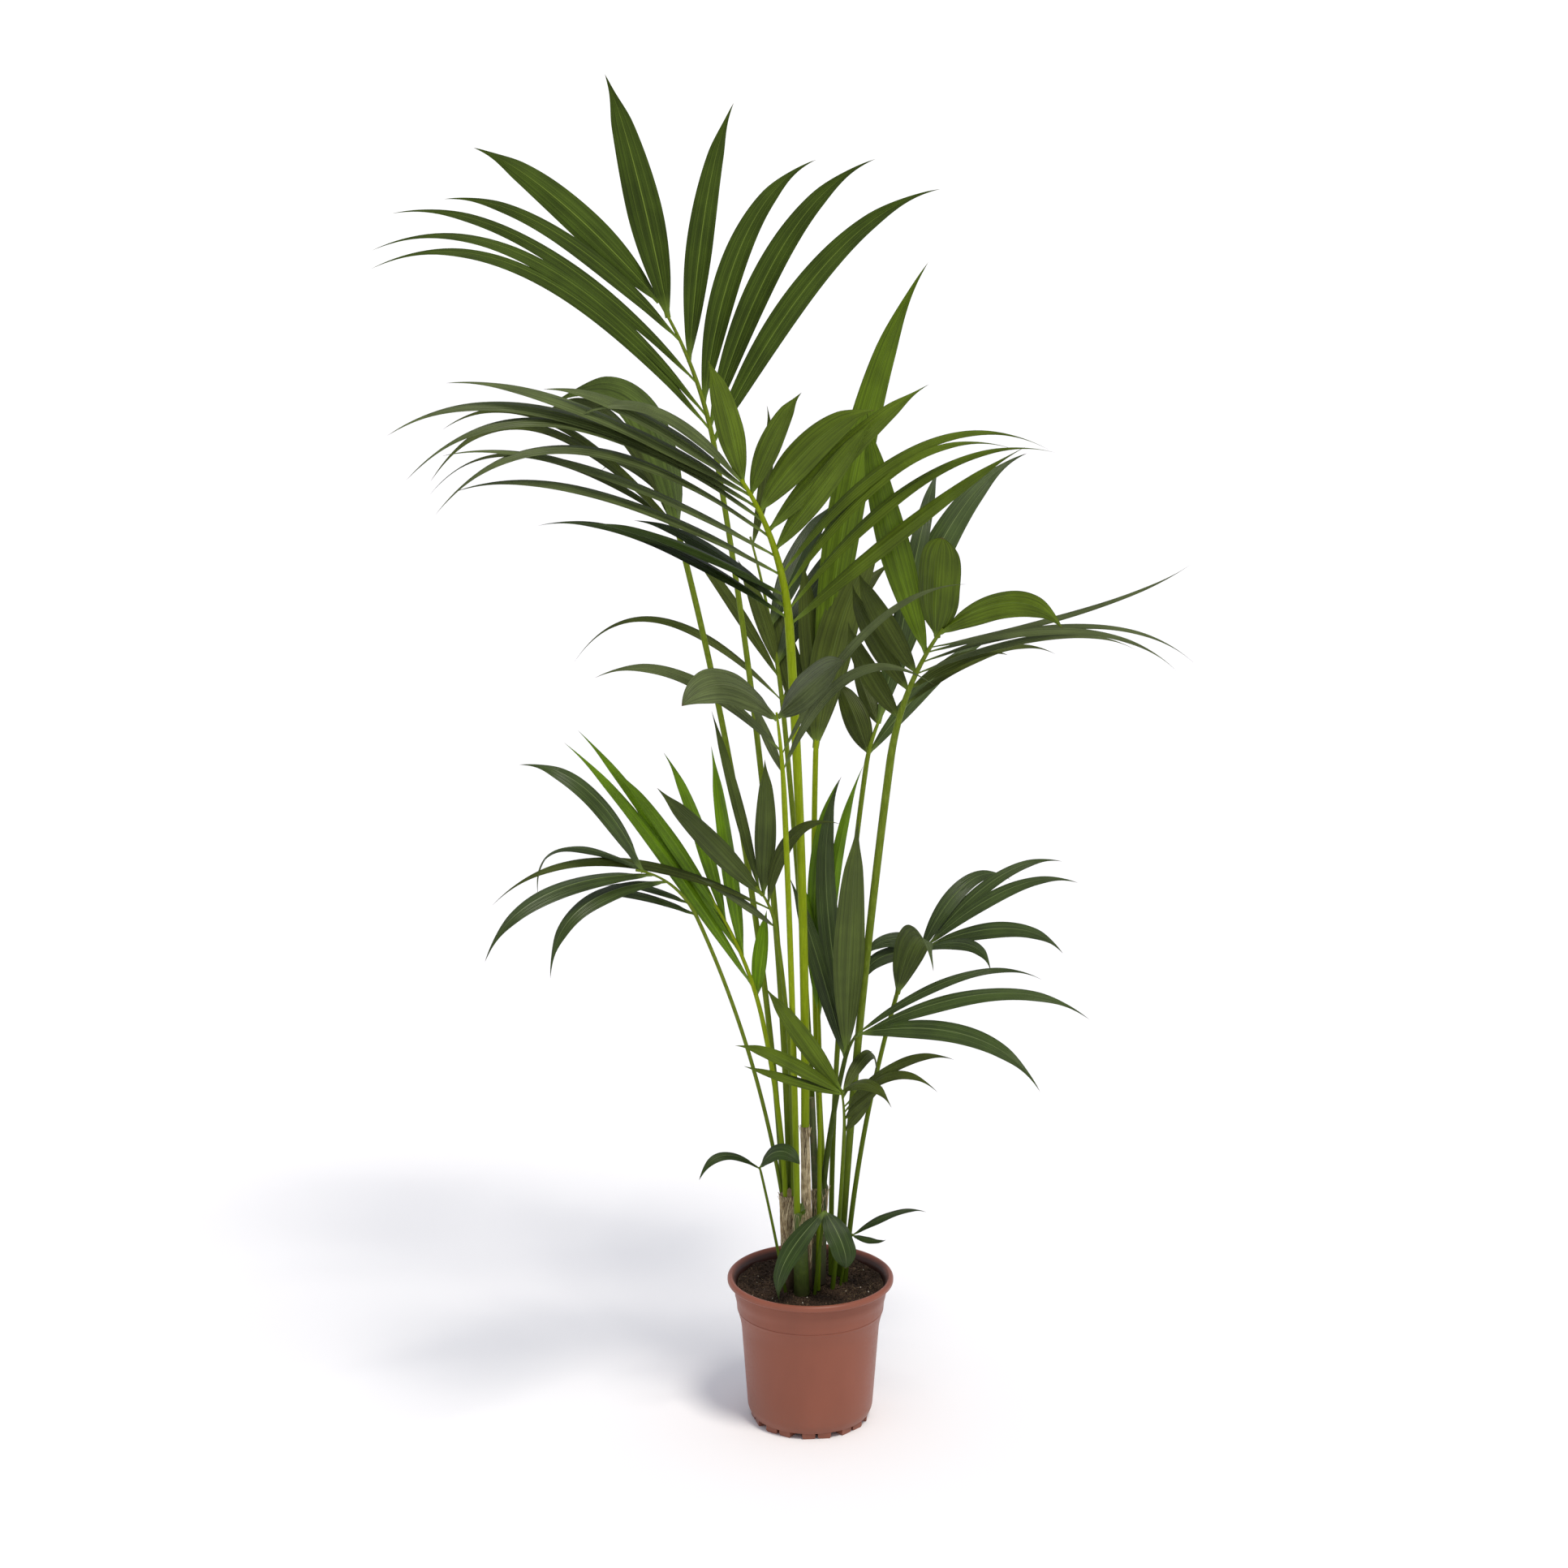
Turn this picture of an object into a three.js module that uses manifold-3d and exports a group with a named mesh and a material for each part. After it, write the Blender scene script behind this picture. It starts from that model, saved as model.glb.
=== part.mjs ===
// Kentia palm, 1.66 m tall, in a round plastic nursery pot with a 210 mm rim.
// Units are millimetres, +Z is up, the pot's flat underside lies on z = 0 and its centre is the origin.
// +X is to the right in the photograph and +Y is away from its camera.
import * as THREE from 'three';
import Module from 'manifold-3d';

const wasm = await Module();
wasm.setup();

const CLEARANCE = 0.3;                 // gap between parts that stand on one another
const SOIL_TOP = 175;                  // level of the soil at the foot of the stems
const LEAF_THICKNESS_SHARE = 0.0105;   // thickness of a leaflet as a share of its length
const LEAF_STATIONS = [0, 0.16, 0.38, 0.62, 0.84];
const BROADEST_STATION = 2;
const LEAF_WIDEST = 0.4;               // where along its length a leaflet is broadest
const FINEST_DETAIL = 0.08;              // slivers thinner than this are smoothed away
const STALK_SIDES = 6;
const STALK_SPAN_LENGTH = 95;
const RACHIS_SPAN_LENGTH = 26;
const NECK_BEND = 0.35;                // how much of the blade's bend the stalk takes up, unless the frond says
const DOWNWARD = new THREE.Vector3(0, 0, -1);
const UPWARD = new THREE.Vector3(0, 0, 1);

const POT = {
  segments: 48,
  rimRadius: 105,
  rimTop: 191.5,
  lipHeight: 8,
  mouthRadius: 98,
  collarRadius: 95.5,
  collarBottom: 145,
  stepBottom: 136.5,
  shoulderRadius: 89,
  bodyFootRadius: 79.5,
  chamferTop: 17,
  footRadius: 75.5,
  footHeight: 8,
  floorTop: 11.5,
  wall: 2,
  padRadius: 46,
  footPairs: 9,
  firstPair: -84,                      // degrees from +X, the pair nearest to the camera
  footWidth: 17.4,
  slit: 2.4,
  footDepth: 14,
  footChamfer: 2.2,
};

const SOIL = { segments: 32, flatRadius: 62, edgeTop: 181, gap: 0.4 };

// Short upright stems: centre at the cut on the soil, centre at the flat top, radius at each.
const STEMS = [
  { name: 'stem_front', foot: [-11, -24], top: [-14, -27, 285], radius: [10.6, 9.6, 8.2] },
  { name: 'stem_middle', foot: [-4, -5], top: [-7, -16, 395], radius: [6.5, 6, 5.2] },
  { name: 'stem_left', foot: [-28, -7], top: [-29, -3, 300], radius: [9, 8.8, 10.4] },
  { name: 'stem_back', foot: [10, 12], top: [12, 12, 305], radius: [10, 9.6, 10.6] },
];
const CUT_STALK = { foot: [5, 7, 305.3], top: [1, -4, 428], radius: [3.4, 4.0] };

// Each frond: foot of its stalk, neck where the blade begins, tip of its rachis, radius of the stalk at foot
// and neck, the way that the blade's upper face looks, and its own bend where the usual one doesn't fit.
// Each side of a blade is a list of leaflets: place along the rachis, how far the tip lies across, back and up
// from the root, arch over the straight line, greatest width, how level the leaflet lies (0 where it faces as
// the blade does, 1 where it is level), and how blunt its end is (1 blunt, 0 usual, below 0 drawn out).
const FRONDS = [
  {
    name: 'top', foot: [-26, 0, 300.3], neck: [-116, 72, 1222], crown: [-203, 150, 1425], thick: [4.4, 3.4],
    face: [0.3, -1, 0.1],
    left: [[0.13, -393, -92, 196, 72, 25, 0.55], [0.2, -391, -70, 200, 70, 25, 0.55],
      [0.38, -358, -48, 202, 46, 23, 0.5], [0.62, -278, -34, 168, 32, 25, 0.45],
      [0.85, -220, -22, 184, 16, 40, 0.1], [0.75, -76, 42, 288, 6, 44, 0]],
    right: [[0.06, 272, 20, 300, 40, 32, 0], [0.14, 200, 62, 316, 38, 33, 0],
      [0.26, 136, 74, 288, 38, 33, 0], [0.49, 54, 64, 306, 12, 33, 0]],
  },
  {
    name: 'middle', foot: [-7, -16, 395.3], neck: [-27, -78, 1036], crown: [-82, -140, 1218], thick: [5.2, 5.4],
    face: [0.2, -1, 0.5], bend: 0.15,
    left: [[0.06, -282, -134, 128, 28, 27, 0.6, -0.3], [0.2, -226, -138, 104, 14, 26, 0.6, -0.2],
      [0.12, -176, -60, 112, 14, 25, 0.5],
      [0.33, -362, -160, 118, 36, 24, 0.6], [0.45, -368, -162, 136, 32, 23, 0.6],
      [0.58, -368, -162, 48, 80, 24, 0.6], [0.69, -392, -156, 66, 80, 26, 0.6],
      [0.79, -404, -146, 98, 58, 28, 0.6], [0.88, -332, -128, 140, 24, 28, 0.55],
      [0.93, -224, -90, 122, 20, 27, 0.5], [0.97, -186, -76, 82, 38, 22, 0.45]],
    right: [[0.02, 266, -108, 222, 8, 22, 0.3, -0.2], [0.11, 302, -100, 196, 48, 20, 0.45, -0.5],
      [0.22, 258, -92, 178, 50, 20, 0.45, -0.4], [0.34, 304, -76, 152, 62, 20, 0.45, -0.6],
      [0.49, 110, -62, 158, 0, 28, 0], [0.62, 182, -52, 174, 8, 31, 0, -0.2],
      [0.76, 130, -40, 120, 16, 38, 0, 0.2], [0.88, 58, -28, 120, 6, 27, 0], [0.97, -40, -18, 142, 4, 32, 0]],
  },
  {
    name: 'left_back', foot: [-34.5, 3, 300.3], neck: [-160, 160, 1092], crown: [-192, 215, 1161],
    thick: [3.6, 3.8], face: [0.5, -0.8, 0.6], bend: 0.85,
    left: [[0.25, -290, -150, 82, 88, 26, 0.6], [0.33, -276, -114, 134, 60, 22, 0.6],
      [0.32, -170, -112, 140, 68, 30, 0.3], [0.2, -152, -70, 170, 80, 56, 0]],
    right: [[0.4, -318, 100, 20, 62, 22, 0.6], [0.9, -80, 60, 20, 20, 20, 0.4]],
  },
  {
    name: 'back', foot: [6.5, 18, 305.3], neck: [-33, 115, 882], crown: [-76, 205, 1101], thick: [4.2, 3.2],
    face: [0.2, -1, 0.2],
    left: [[0.11, -268, 108, 26, 70, 12, 0.4], [0.23, -128, 30, 178, 6, 16, 0.2], [0.29, -50, 16, 132, 4, 21, 0]],
    right: [[0.1, 142, 130, 158, 10, 30, 0.1], [0.3, 100, 130, 150, 10, 32, 0], [0.5, 80, 120, 137, 10, 32, 0],
      [0.95, 18, 8, 176, -10, 16, 0]],
  },
  {
    name: 'front', foot: [-17, -29, 285.3], neck: [-33, -115, 837], crown: [-42, -155, 950], thick: [4.2, 3.4],
    face: [0, -1, 0.5],
    left: [[0.29, -38, -6, 92, 0, 12, 0], [0.55, -210, -102, 106, 36, 18, 0.3],
      [0.93, -106, -132, 42, 28, 44, 0.2, 0.7]],
    right: [[0.32, 172, -126, 126, 54, 14, 0.2], [0.5, 210, -88, 216, 36, 11, 0.2],
      [0.95, 74, -112, 88, 4, 42, 0.1, 0.4]],
  },
  {
    name: 'right', foot: [38, 36, 175.3], neck: [93, -70, 873], crown: [151, -125, 1044], thick: [4.6, 4.8],
    face: [-0.4, -1, 0.4], bend: 0.15,
    left: [[0.3, -60, 34, 110, -8, 26, 0], [0.5, -66, 34, 122, -8, 26, 0], [0.63, -68, 18, 118, -4, 28, 0],
      [0.75, -70, -28, 282, -8, 39, 0], [0.91, 4, -38, 124, -3, 52, 0, 1]],
    right: [[0.39, 182, 28, 56, 28, 16, 0.6], [0.52, 114, -14, 42, 14, 20, 0.45],
      [0.63, 252, -46, 36, 26, 14, 0.6, -0.3], [0.72, 306, -102, 16, 42, 15, 0.6, -0.4], [0.8, 274, -130, 2, 36, 16, 0.6, -0.4],
      [0.84, 294, -52, 106, -13, 12, 0.6, -0.4], [0.96, 130, -132, 28, 29, 33, 0.1, 0.3]],
  },
  {
    name: 'right_back', foot: [17, 17.5, 305.3], neck: [6, 80, 851], crown: [13, 100, 889], thick: [4.2, 3.4],
    face: [0.1, -1, 0.1],
    left: [[0.26, -56, 96, 182, -8, 33, 0], [0.74, -20, 62, 200, 0, 30, 0]],
    right: [[0.1, 94, 84, 256, 26, 50, 0], [0.62, 138, 146, 566, 31, 45, 0]],
  },
  {
    name: 'far', foot: [27, 38, 175.3], neck: [69, 100, 827], crown: [101, 145, 904], thick: [3.4, 3.2],
    face: [-0.2, -1, 0.1],
    left: [[0.18, -40, 44, 84, 4, 34, 0], [0.59, -30, 58, 70, 0, 22, 0]],
    right: [[0.17, 164, 86, 132, 16, 22, 0.2], [0.6, 192, 138, 322, 42, 42, 0.1], [0.94, 66, 148, 272, 74, 25, 0]],
  },
  {
    name: 'left_low', foot: [-36, -4, 300.3], neck: [-138, -85, 685], crown: [-207, -145, 759], thick: [2.6, 2.4],
    face: [0.5, -0.5, 0.8],
    left: [[0.04, -128, -14, 22, 14, 22, 0.6], [0.2, -102, 34, 10, 10, 18, 0.6],
      [0.59, -130, -108, -88, 44, 28, 0.55], [0.79, -186, -130, -70, 38, 30, 0.55]],
    right: [[0.75, -144, 70, -48, 56, 17, 0.5], [0.9, -144, -4, 130, 36, 36, 0.2]],
  },
  {
    name: 'young', foot: [-31.5, -9.5, 300.3], neck: [-59, -30, 534], crown: [-155, -80, 754], thick: [3.4, 3],
    face: [0.6, -1, 0.3],
    left: [[0.21, -218, -112, 330, 12, 18, 0], [0.41, -188, -74, 292, 8, 18, 0], [0.62, -124, -72, 200, 6, 18, 0]],
    right: [[0.14, 12, 44, 100, 0, 22, 0], [0.35, -40, 38, 262, 20, 22, 0], [0.57, -76, 14, 212, 12, 20, 0]],
  },
  {
    name: 'young_back', foot: [9, -12, 175.3], neck: [11, 4, 482], crown: [5, 26, 611], thick: [3.6, 2.6],
    face: [0.1, -1, 0.2],
    left: [[0.39, -24, 16, 176, 4, 16, 0], [0.77, 28, 30, 242, 16, 18, 0]],
    right: [[0.31, 54, 26, 322, 12, 18, 0], [0.85, 6, 8, 132, 8, 15, 0]],
  },
  {
    name: 'inner', foot: [-23, -8, 300.3], neck: [-43, -50, 660], crown: [-67, -70, 719], thick: [3, 2.6],
    face: [0, -1, 0.4],
    left: [[0.04, -94, -40, 72, 4, 12, 0.4], [0.43, -322, -118, 32, 54, 16, 0.5],
      [0.74, -124, -76, 152, 0, 27, 0.1], [0.88, -58, 46, 212, 10, 14, 0]],
    right: [[0.55, 86, -60, 114, 30, 17, 0], [0.75, 2, -16, 172, -2, 26, 0]],
  },
  {
    name: 'right_low', foot: [16, 7, 305.3], neck: [41, -25, 482], crown: [57, -40, 525], thick: [4.2, 3],
    face: [0.2, -1, 0.4],
    left: [[0.13, -68, 56, 216, 4, 24, 0], [0.45, -10, 40, 336, -34, 27, 0], [0.25, 12, -48, 310, -4, 39, 0]],
    right: [[0.96, 212, -160, -20, 39, 27, 0.2], [0.86, 280, -72, 44, 40, 24, 0.5],
      [0.97, 228, 20, 62, 34, 14, 0.5]],
  },
  {
    name: 'right_mid', foot: [44, 13, 175.3], neck: [107, 45, 544], crown: [152, 80, 606], thick: [3.6, 2.8],
    face: [0, -1, 0.5],
    left: [[0.04, 40, -106, 62, 52, 42, 0.1, 0.2], [0.78, -74, -24, -44, 21, 22, 0.3],
      [0.93, -80, -26, -10, 15, 22, 0.3]],
    right: [[0.8, 80, -94, 0, 22, 20, 0.4], [0.87, 168, -58, 8, 26, 25, 0.4], [0.92, 188, 2, 80, 24, 20, 0.4],
      [0.97, 170, 52, 92, 24, 18, 0.4], [0.75, 120, 88, 70, 36, 22, 0.1]],
  },
  {
    name: 'front_right', foot: [28, -7, 175.3], neck: [41, -40, 391], crown: [37, -60, 458], thick: [3.2, 2.4],
    face: [0, -1, 0.4],
    left: [[0.9, -120, -70, 60, 0, 15, 0.4], [0.94, -130, -66, 82, 8, 20, 0.3], [0.97, -94, -6, 140, 0, 24, 0]],
    right: [[0.08, 34, -28, 54, 0, 11, 0], [0.34, 46, -38, 56, 2, 13, 0], [0.5, 110, -100, 60, 30, 15, 0.4],
      [0.62, 130, -88, 90, 20, 15, 0.4], [0.97, 58, -90, 10, 20, 18, 0.3], [0.78, 38, 58, 42, 16, 12, 0],
      [0.86, 30, 70, -14, 48, 16, 0.1]],
  },
  {
    name: 'low_left', foot: [-31, -24, 175.3], neck: [-62, -42, 344], crown: [-64, -43, 351], thick: [2.2, 1.6],
    face: [0, -1, 0.8],
    left: [[0.82, -74, -42, 0, 24, 17, 0.6, 0.4]],
    right: [[0.96, 50, -32, 16, 18, 22, 0.2, 0.8]],
  },
  {
    name: 'low_front', foot: [5, -26, 175.3], neck: [16, -43, 286], crown: [17, -44, 294], thick: [2.2, 1.8],
    face: [0, -0.4, 1],
    left: [[0.97, -56, -38, -104, 21, 30, 0, 0.1]],
    right: [[0.97, 26, -30, -64, 9, 33, 0, 0.8]],
  },
  {
    name: 'low_right', foot: [38, 2, 175.3], neck: [50, -10, 243], crown: [53, -12, 250], thick: [2, 1.6],
    face: [0, -0.3, 1],
    left: [[0.9, 94, 20, 22, 12, 16, 0.4]],
    right: [[0.9, 42, -16, 0, -4, 14, 0.3]],
  },
];

function vec(values) {
  return new THREE.Vector3(...values);
}

function across(vector, direction) {
  return vector.clone().addScaledVector(direction, -vector.dot(direction));
}

function mirrored(chord, tangent) {
  const along = chord.clone().normalize();
  return along.multiplyScalar(2 * along.dot(tangent)).sub(tangent);
}

function hermite(start, startWay, end, endWay, t) {
  const reach = start.distanceTo(end);
  const t2 = t * t;
  const t3 = t2 * t;
  return start.clone().multiplyScalar(2 * t3 - 3 * t2 + 1)
    .addScaledVector(startWay, (t3 - 2 * t2 + t) * reach)
    .addScaledVector(end, 3 * t2 - 2 * t3)
    .addScaledVector(endWay, (t3 - t2) * reach);
}

// The curve of a stalk and of the rachis that goes on from it without a kink.
function limbOf(frond) {
  const foot = vec(frond.foot);
  const neck = vec(frond.neck);
  const crown = vec(frond.crown);
  const lower = neck.clone().sub(foot);
  const upper = crown.clone().sub(neck);
  const bend = frond.bend ?? NECK_BEND;
  const way = lower.clone().normalize().addScaledVector(upper.clone().normalize(), bend).normalize();
  return { foot, neck, crown, way, footWay: mirrored(lower, way), crownWay: mirrored(upper, way) };
}

function rachisPoint(limb, t) {
  return hermite(limb.neck, limb.way, limb.crown, limb.crownWay, t);
}

function rachisWay(limb, t) {
  const before = rachisPoint(limb, Math.max(t - 0.01, 0));
  return rachisPoint(limb, Math.min(t + 0.01, 1)).sub(before).normalize();
}

// A solid from rings of points, each ring with as many points as the next.
// The first ring is closed by a flat cap, the last ring by a cap or by one tip point.
function solidFromRings(rings, tip) {
  const sides = rings[0].length;
  const points = rings.flat();
  const faces = [];
  const at = (ring, side) => ring * sides + (side % sides);
  for (let side = 1; side + 1 < sides; side += 1) {
    faces.push([at(0, 0), at(0, side + 1), at(0, side)]);
  }
  for (let ring = 0; ring + 1 < rings.length; ring += 1) {
    for (let side = 0; side < sides; side += 1) {
      faces.push([at(ring, side), at(ring, side + 1), at(ring + 1, side + 1)]);
      faces.push([at(ring, side), at(ring + 1, side + 1), at(ring + 1, side)]);
    }
  }
  const last = rings.length - 1;
  if (tip) {
    points.push(tip);
    for (let side = 0; side < sides; side += 1) {
      faces.push([at(last, side), at(last, side + 1), points.length - 1]);
    }
  } else {
    for (let side = 1; side + 1 < sides; side += 1) {
      faces.push([at(last, 0), at(last, side), at(last, side + 1)]);
    }
  }
  const vertProperties = new Float32Array(points.flatMap((p) => [p.x, p.y, p.z]));
  const triVerts = new Uint32Array(faces.flat());
  const solid = new wasm.Manifold(new wasm.Mesh({ numProp: 3, vertProperties, triVerts }));
  if (solid.volume() > 0) {
    return solid;
  }
  const turned = new Uint32Array(faces.map(([a, b, c]) => [a, c, b]).flat());
  return new wasm.Manifold(new wasm.Mesh({ numProp: 3, vertProperties, triVerts: turned }));
}

function ringAround(centre, way, reference, radius, sides) {
  const first = across(reference, way).normalize();
  const second = new THREE.Vector3().crossVectors(way, first);
  const ring = [];
  for (let side = 0; side < sides; side += 1) {
    const angle = (2 * Math.PI * side) / sides;
    ring.push(centre.clone()
      .addScaledVector(first, radius * Math.cos(angle))
      .addScaledVector(second, radius * Math.sin(angle)));
  }
  return ring;
}

// A round solid of revolution about Z from pairs of radius and height, both ends on the axis.
function turned(profile, segments) {
  const foot = new THREE.Vector3(0, 0, profile[0][1]);
  const head = new THREE.Vector3(0, 0, profile[profile.length - 1][1]);
  const points = [foot, head];
  const rings = profile.slice(1, -1);
  for (const [radius, height] of rings) {
    for (let k = 0; k < segments; k += 1) {
      const angle = (2 * Math.PI * k) / segments;
      points.push(new THREE.Vector3(radius * Math.cos(angle), radius * Math.sin(angle), height));
    }
  }
  const at = (ring, k) => 2 + ring * segments + (k % segments);
  const faces = [];
  for (let k = 0; k < segments; k += 1) {
    faces.push([0, at(0, k + 1), at(0, k)]);
    faces.push([1, at(rings.length - 1, k), at(rings.length - 1, k + 1)]);
    for (let ring = 0; ring + 1 < rings.length; ring += 1) {
      faces.push([at(ring, k), at(ring, k + 1), at(ring + 1, k + 1)]);
      faces.push([at(ring, k), at(ring + 1, k + 1), at(ring + 1, k)]);
    }
  }
  const vertProperties = new Float32Array(points.flatMap((p) => [p.x, p.y, p.z]));
  const triVerts = new Uint32Array(faces.flat());
  return new wasm.Manifold(new wasm.Mesh({ numProp: 3, vertProperties, triVerts }));
}

// An upright prism over a flat outline, which narrows to a second outline at its foot.
function footBlock(angle, sideways) {
  const radial = new THREE.Vector3(Math.cos(angle), Math.sin(angle), 0);
  const along = new THREE.Vector3(-Math.sin(angle), Math.cos(angle), 0);
  const half = POT.footWidth / 2;
  const outer = Math.sqrt(POT.footRadius ** 2 - (Math.abs(sideways) + half) ** 2);
  const inner = POT.footRadius - POT.footDepth;
  const levels = [
    { height: 0, out: outer - 0.8, cut: POT.footChamfer },
    { height: POT.footChamfer, out: outer, cut: 0.6 },
    { height: POT.footHeight + 1.5, out: outer, cut: 0.6 },
  ];
  const rings = levels.map(({ height, out, cut }) => {
    const outline = [
      [inner, -half + cut],
      [out, -half + cut],
      [out, half - cut],
      [inner, half - cut],
    ];
    return outline.map(([r, s]) => new THREE.Vector3(0, 0, height)
      .addScaledVector(radial, r)
      .addScaledVector(along, sideways + s));
  });
  return solidFromRings(rings);
}

function makePot() {
  const p = POT;
  const inside = (radius) => radius - p.wall;
  const lipBottom = p.rimTop - p.lipHeight;
  const profile = [
    [0, p.footHeight],
    [p.footRadius, p.footHeight],
    [p.bodyFootRadius, p.chamferTop],
    [p.shoulderRadius, p.stepBottom],
    [p.collarRadius - 1.2, p.collarBottom - 1.5],
    [p.collarRadius, p.collarBottom + 1.5],
    [p.collarRadius + 0.6, lipBottom],
    [p.rimRadius - 1.6, lipBottom],
    [p.rimRadius, lipBottom + 2],
    [p.rimRadius, p.rimTop - 2.4],
    [p.rimRadius - 1.8, p.rimTop - 0.4],
    [p.rimRadius - 4, p.rimTop],
    [p.mouthRadius + 1.2, p.rimTop - 1.2],
    [p.mouthRadius, p.rimTop - 3.5],
    [inside(p.collarRadius) + 0.6, lipBottom],
    [inside(p.collarRadius), p.collarBottom + 1],
    [inside(p.shoulderRadius), p.stepBottom - 1],
    [inside(p.bodyFootRadius), p.chamferTop + 2],
    [inside(p.footRadius), p.floorTop],
    [0, p.floorTop],
  ];
  const parts = [turned(profile, p.segments)];
  const pad = [[0, 0], [p.padRadius, 0], [p.padRadius, p.footHeight + 1.5], [0, p.footHeight + 1.5]];
  parts.push(turned(pad, 36));
  const halfStep = (p.footWidth + p.slit) / 2;
  for (let pair = 0; pair < p.footPairs; pair += 1) {
    const angle = THREE.MathUtils.degToRad(p.firstPair + (360 * pair) / p.footPairs);
    parts.push(footBlock(angle, -halfStep));
    parts.push(footBlock(angle, halfStep));
  }
  return wasm.Manifold.union(parts);
}

// Packed soil, level round the stems and rising a little to the wall.
function makeSoil() {
  const inside = (radius) => radius - POT.wall - SOIL.gap;
  const profile = [
    [0, POT.floorTop + SOIL.gap],
    [inside(POT.footRadius), POT.floorTop + SOIL.gap],
    [inside(POT.bodyFootRadius), POT.chamferTop + 2],
    [inside(POT.shoulderRadius), POT.stepBottom],
    [inside(POT.collarRadius), POT.collarBottom + 2],
    [inside(POT.collarRadius), SOIL.edgeTop],
    [inside(POT.collarRadius) - 12, SOIL.edgeTop + 1.5],
    [SOIL.flatRadius, SOIL_TOP],
    [0, SOIL_TOP],
  ];
  return turned(profile, SOIL.segments);
}

// A stem flares at the soil, runs slim and widens again where the stalks part.
function makeStem(stem) {
  const foot = vec([...stem.foot, SOIL_TOP + CLEARANCE]);
  const top = vec(stem.top);
  const rings = [[0, 0], [0.12, 0.75], [0.5, 1], [0.85, 1.6], [1, 2]].map(([t, place]) => {
    const lower = Math.min(Math.floor(place), 1);
    const share = place - lower;
    const radius = stem.radius[lower] * (1 - share) + stem.radius[lower + 1] * share;
    return ringAround(foot.clone().lerp(top, t), UPWARD, new THREE.Vector3(1, 0, 0), radius, 16);
  });
  return solidFromRings(rings);
}

function makeStalk(frond, limb) {
  const rings = [];
  const end = limb.neck.clone().addScaledVector(limb.way, -CLEARANCE);
  const spans = Math.max(Math.round(limb.foot.distanceTo(limb.neck) / STALK_SPAN_LENGTH), 3);
  for (let span = 0; span <= spans; span += 1) {
    const t = span / spans;
    const centre = hermite(limb.foot, limb.footWay, end, limb.way, t);
    const ahead = hermite(limb.foot, limb.footWay, end, limb.way, Math.min(t + 0.01, 1));
    const behind = hermite(limb.foot, limb.footWay, end, limb.way, Math.max(t - 0.01, 0));
    const way = span === 0 ? UPWARD : ahead.sub(behind).normalize();
    const taper = t ** 0.7;
    const radius = frond.thick[0] * (1 - taper) + frond.thick[1] * taper;
    rings.push(ringAround(centre, way, new THREE.Vector3(0, -1, 0), radius, STALK_SIDES));
  }
  return solidFromRings(rings);
}

function makeRachis(frond, limb) {
  const rings = [];
  const spans = Math.max(Math.round(limb.neck.distanceTo(limb.crown) / RACHIS_SPAN_LENGTH), 1);
  for (let span = 0; span <= spans; span += 1) {
    const t = span / spans;
    const radius = Math.max(frond.thick[1] * (1 - 0.6 * t), 1.4);
    rings.push(ringAround(rachisPoint(limb, t), rachisWay(limb, t), new THREE.Vector3(0, -1, 0), radius,
      STALK_SIDES));
  }
  return solidFromRings(rings);
}

// Width of a leaflet along its length as a share of its greatest width.
function leafWidth(s, blunt) {
  const rise = Math.sin((Math.PI / 2) * Math.min(s / LEAF_WIDEST, 1)) ** 0.8;
  const fall = 1 - Math.max((s - LEAF_WIDEST) / (1 - LEAF_WIDEST), 0) ** (1.7 * 3 ** blunt);
  return Math.max(0.16, rise) * fall;
}

function leafRow([at, aside, back, up, arch, width, flat, blunt = 0]) {
  return { at, chord: new THREE.Vector3(aside, back, up), arch, width, flat, blunt };
}

// Which way a leaflet's face looks at each station. It is set where the leaflet is broadest and carried
// from there to both ends without a twist.
function leafUps(curve, looks) {
  const ways = LEAF_STATIONS.map((s) => curve.getTangent(s));
  const ups = ways.map(() => looks);
  ups[BROADEST_STATION] = across(looks, ways[BROADEST_STATION]).normalize();
  for (let k = BROADEST_STATION + 1; k < ways.length; k += 1) {
    ups[k] = across(ups[k - 1], ways[k]).normalize();
  }
  for (let k = BROADEST_STATION - 1; k >= 0; k -= 1) {
    ups[k] = across(ups[k + 1], ways[k]).normalize();
  }
  return ups;
}

// A leaflet arches from the rachis to its tip: flat below, with a low ridge above.
function makeLeaf(limb, face, row) {
  const root = rachisPoint(limb, row.at);
  const along = row.chord.clone().normalize();
  const lift = across(UPWARD.clone().addScaledVector(rachisWay(limb, row.at), 0.6), along).normalize();
  const tip = root.clone().add(row.chord);
  const low = root.clone().addScaledVector(row.chord, 0.35).addScaledVector(lift, 1.05 * row.arch);
  const high = root.clone().addScaledVector(row.chord, 0.78).addScaledVector(lift, 1.75 * row.arch);
  const curve = new THREE.CubicBezierCurve3(root, low, high, tip);
  const looks = vec(face).normalize().multiplyScalar(1 - row.flat).addScaledVector(UPWARD, row.flat);
  const thickness = row.chord.length() * LEAF_THICKNESS_SHARE;
  const ups = leafUps(curve, looks);
  const rings = LEAF_STATIONS.map((s, k) => {
    const centre = curve.getPoint(s);
    const up = ups[k];
    const sideways = new THREE.Vector3().crossVectors(up, curve.getTangent(s));
    const half = (leafWidth(s, row.blunt) * row.width) / 2;
    const slim = Math.min(thickness, 0.6 * row.width);
    return [
      centre.clone().addScaledVector(sideways, half).addScaledVector(up, -slim / 3),
      centre.clone().addScaledVector(up, (2 * slim) / 3),
      centre.clone().addScaledVector(sideways, -half).addScaledVector(up, -slim / 3),
    ];
  });
  return solidFromRings(rings, tip);
}

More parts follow.
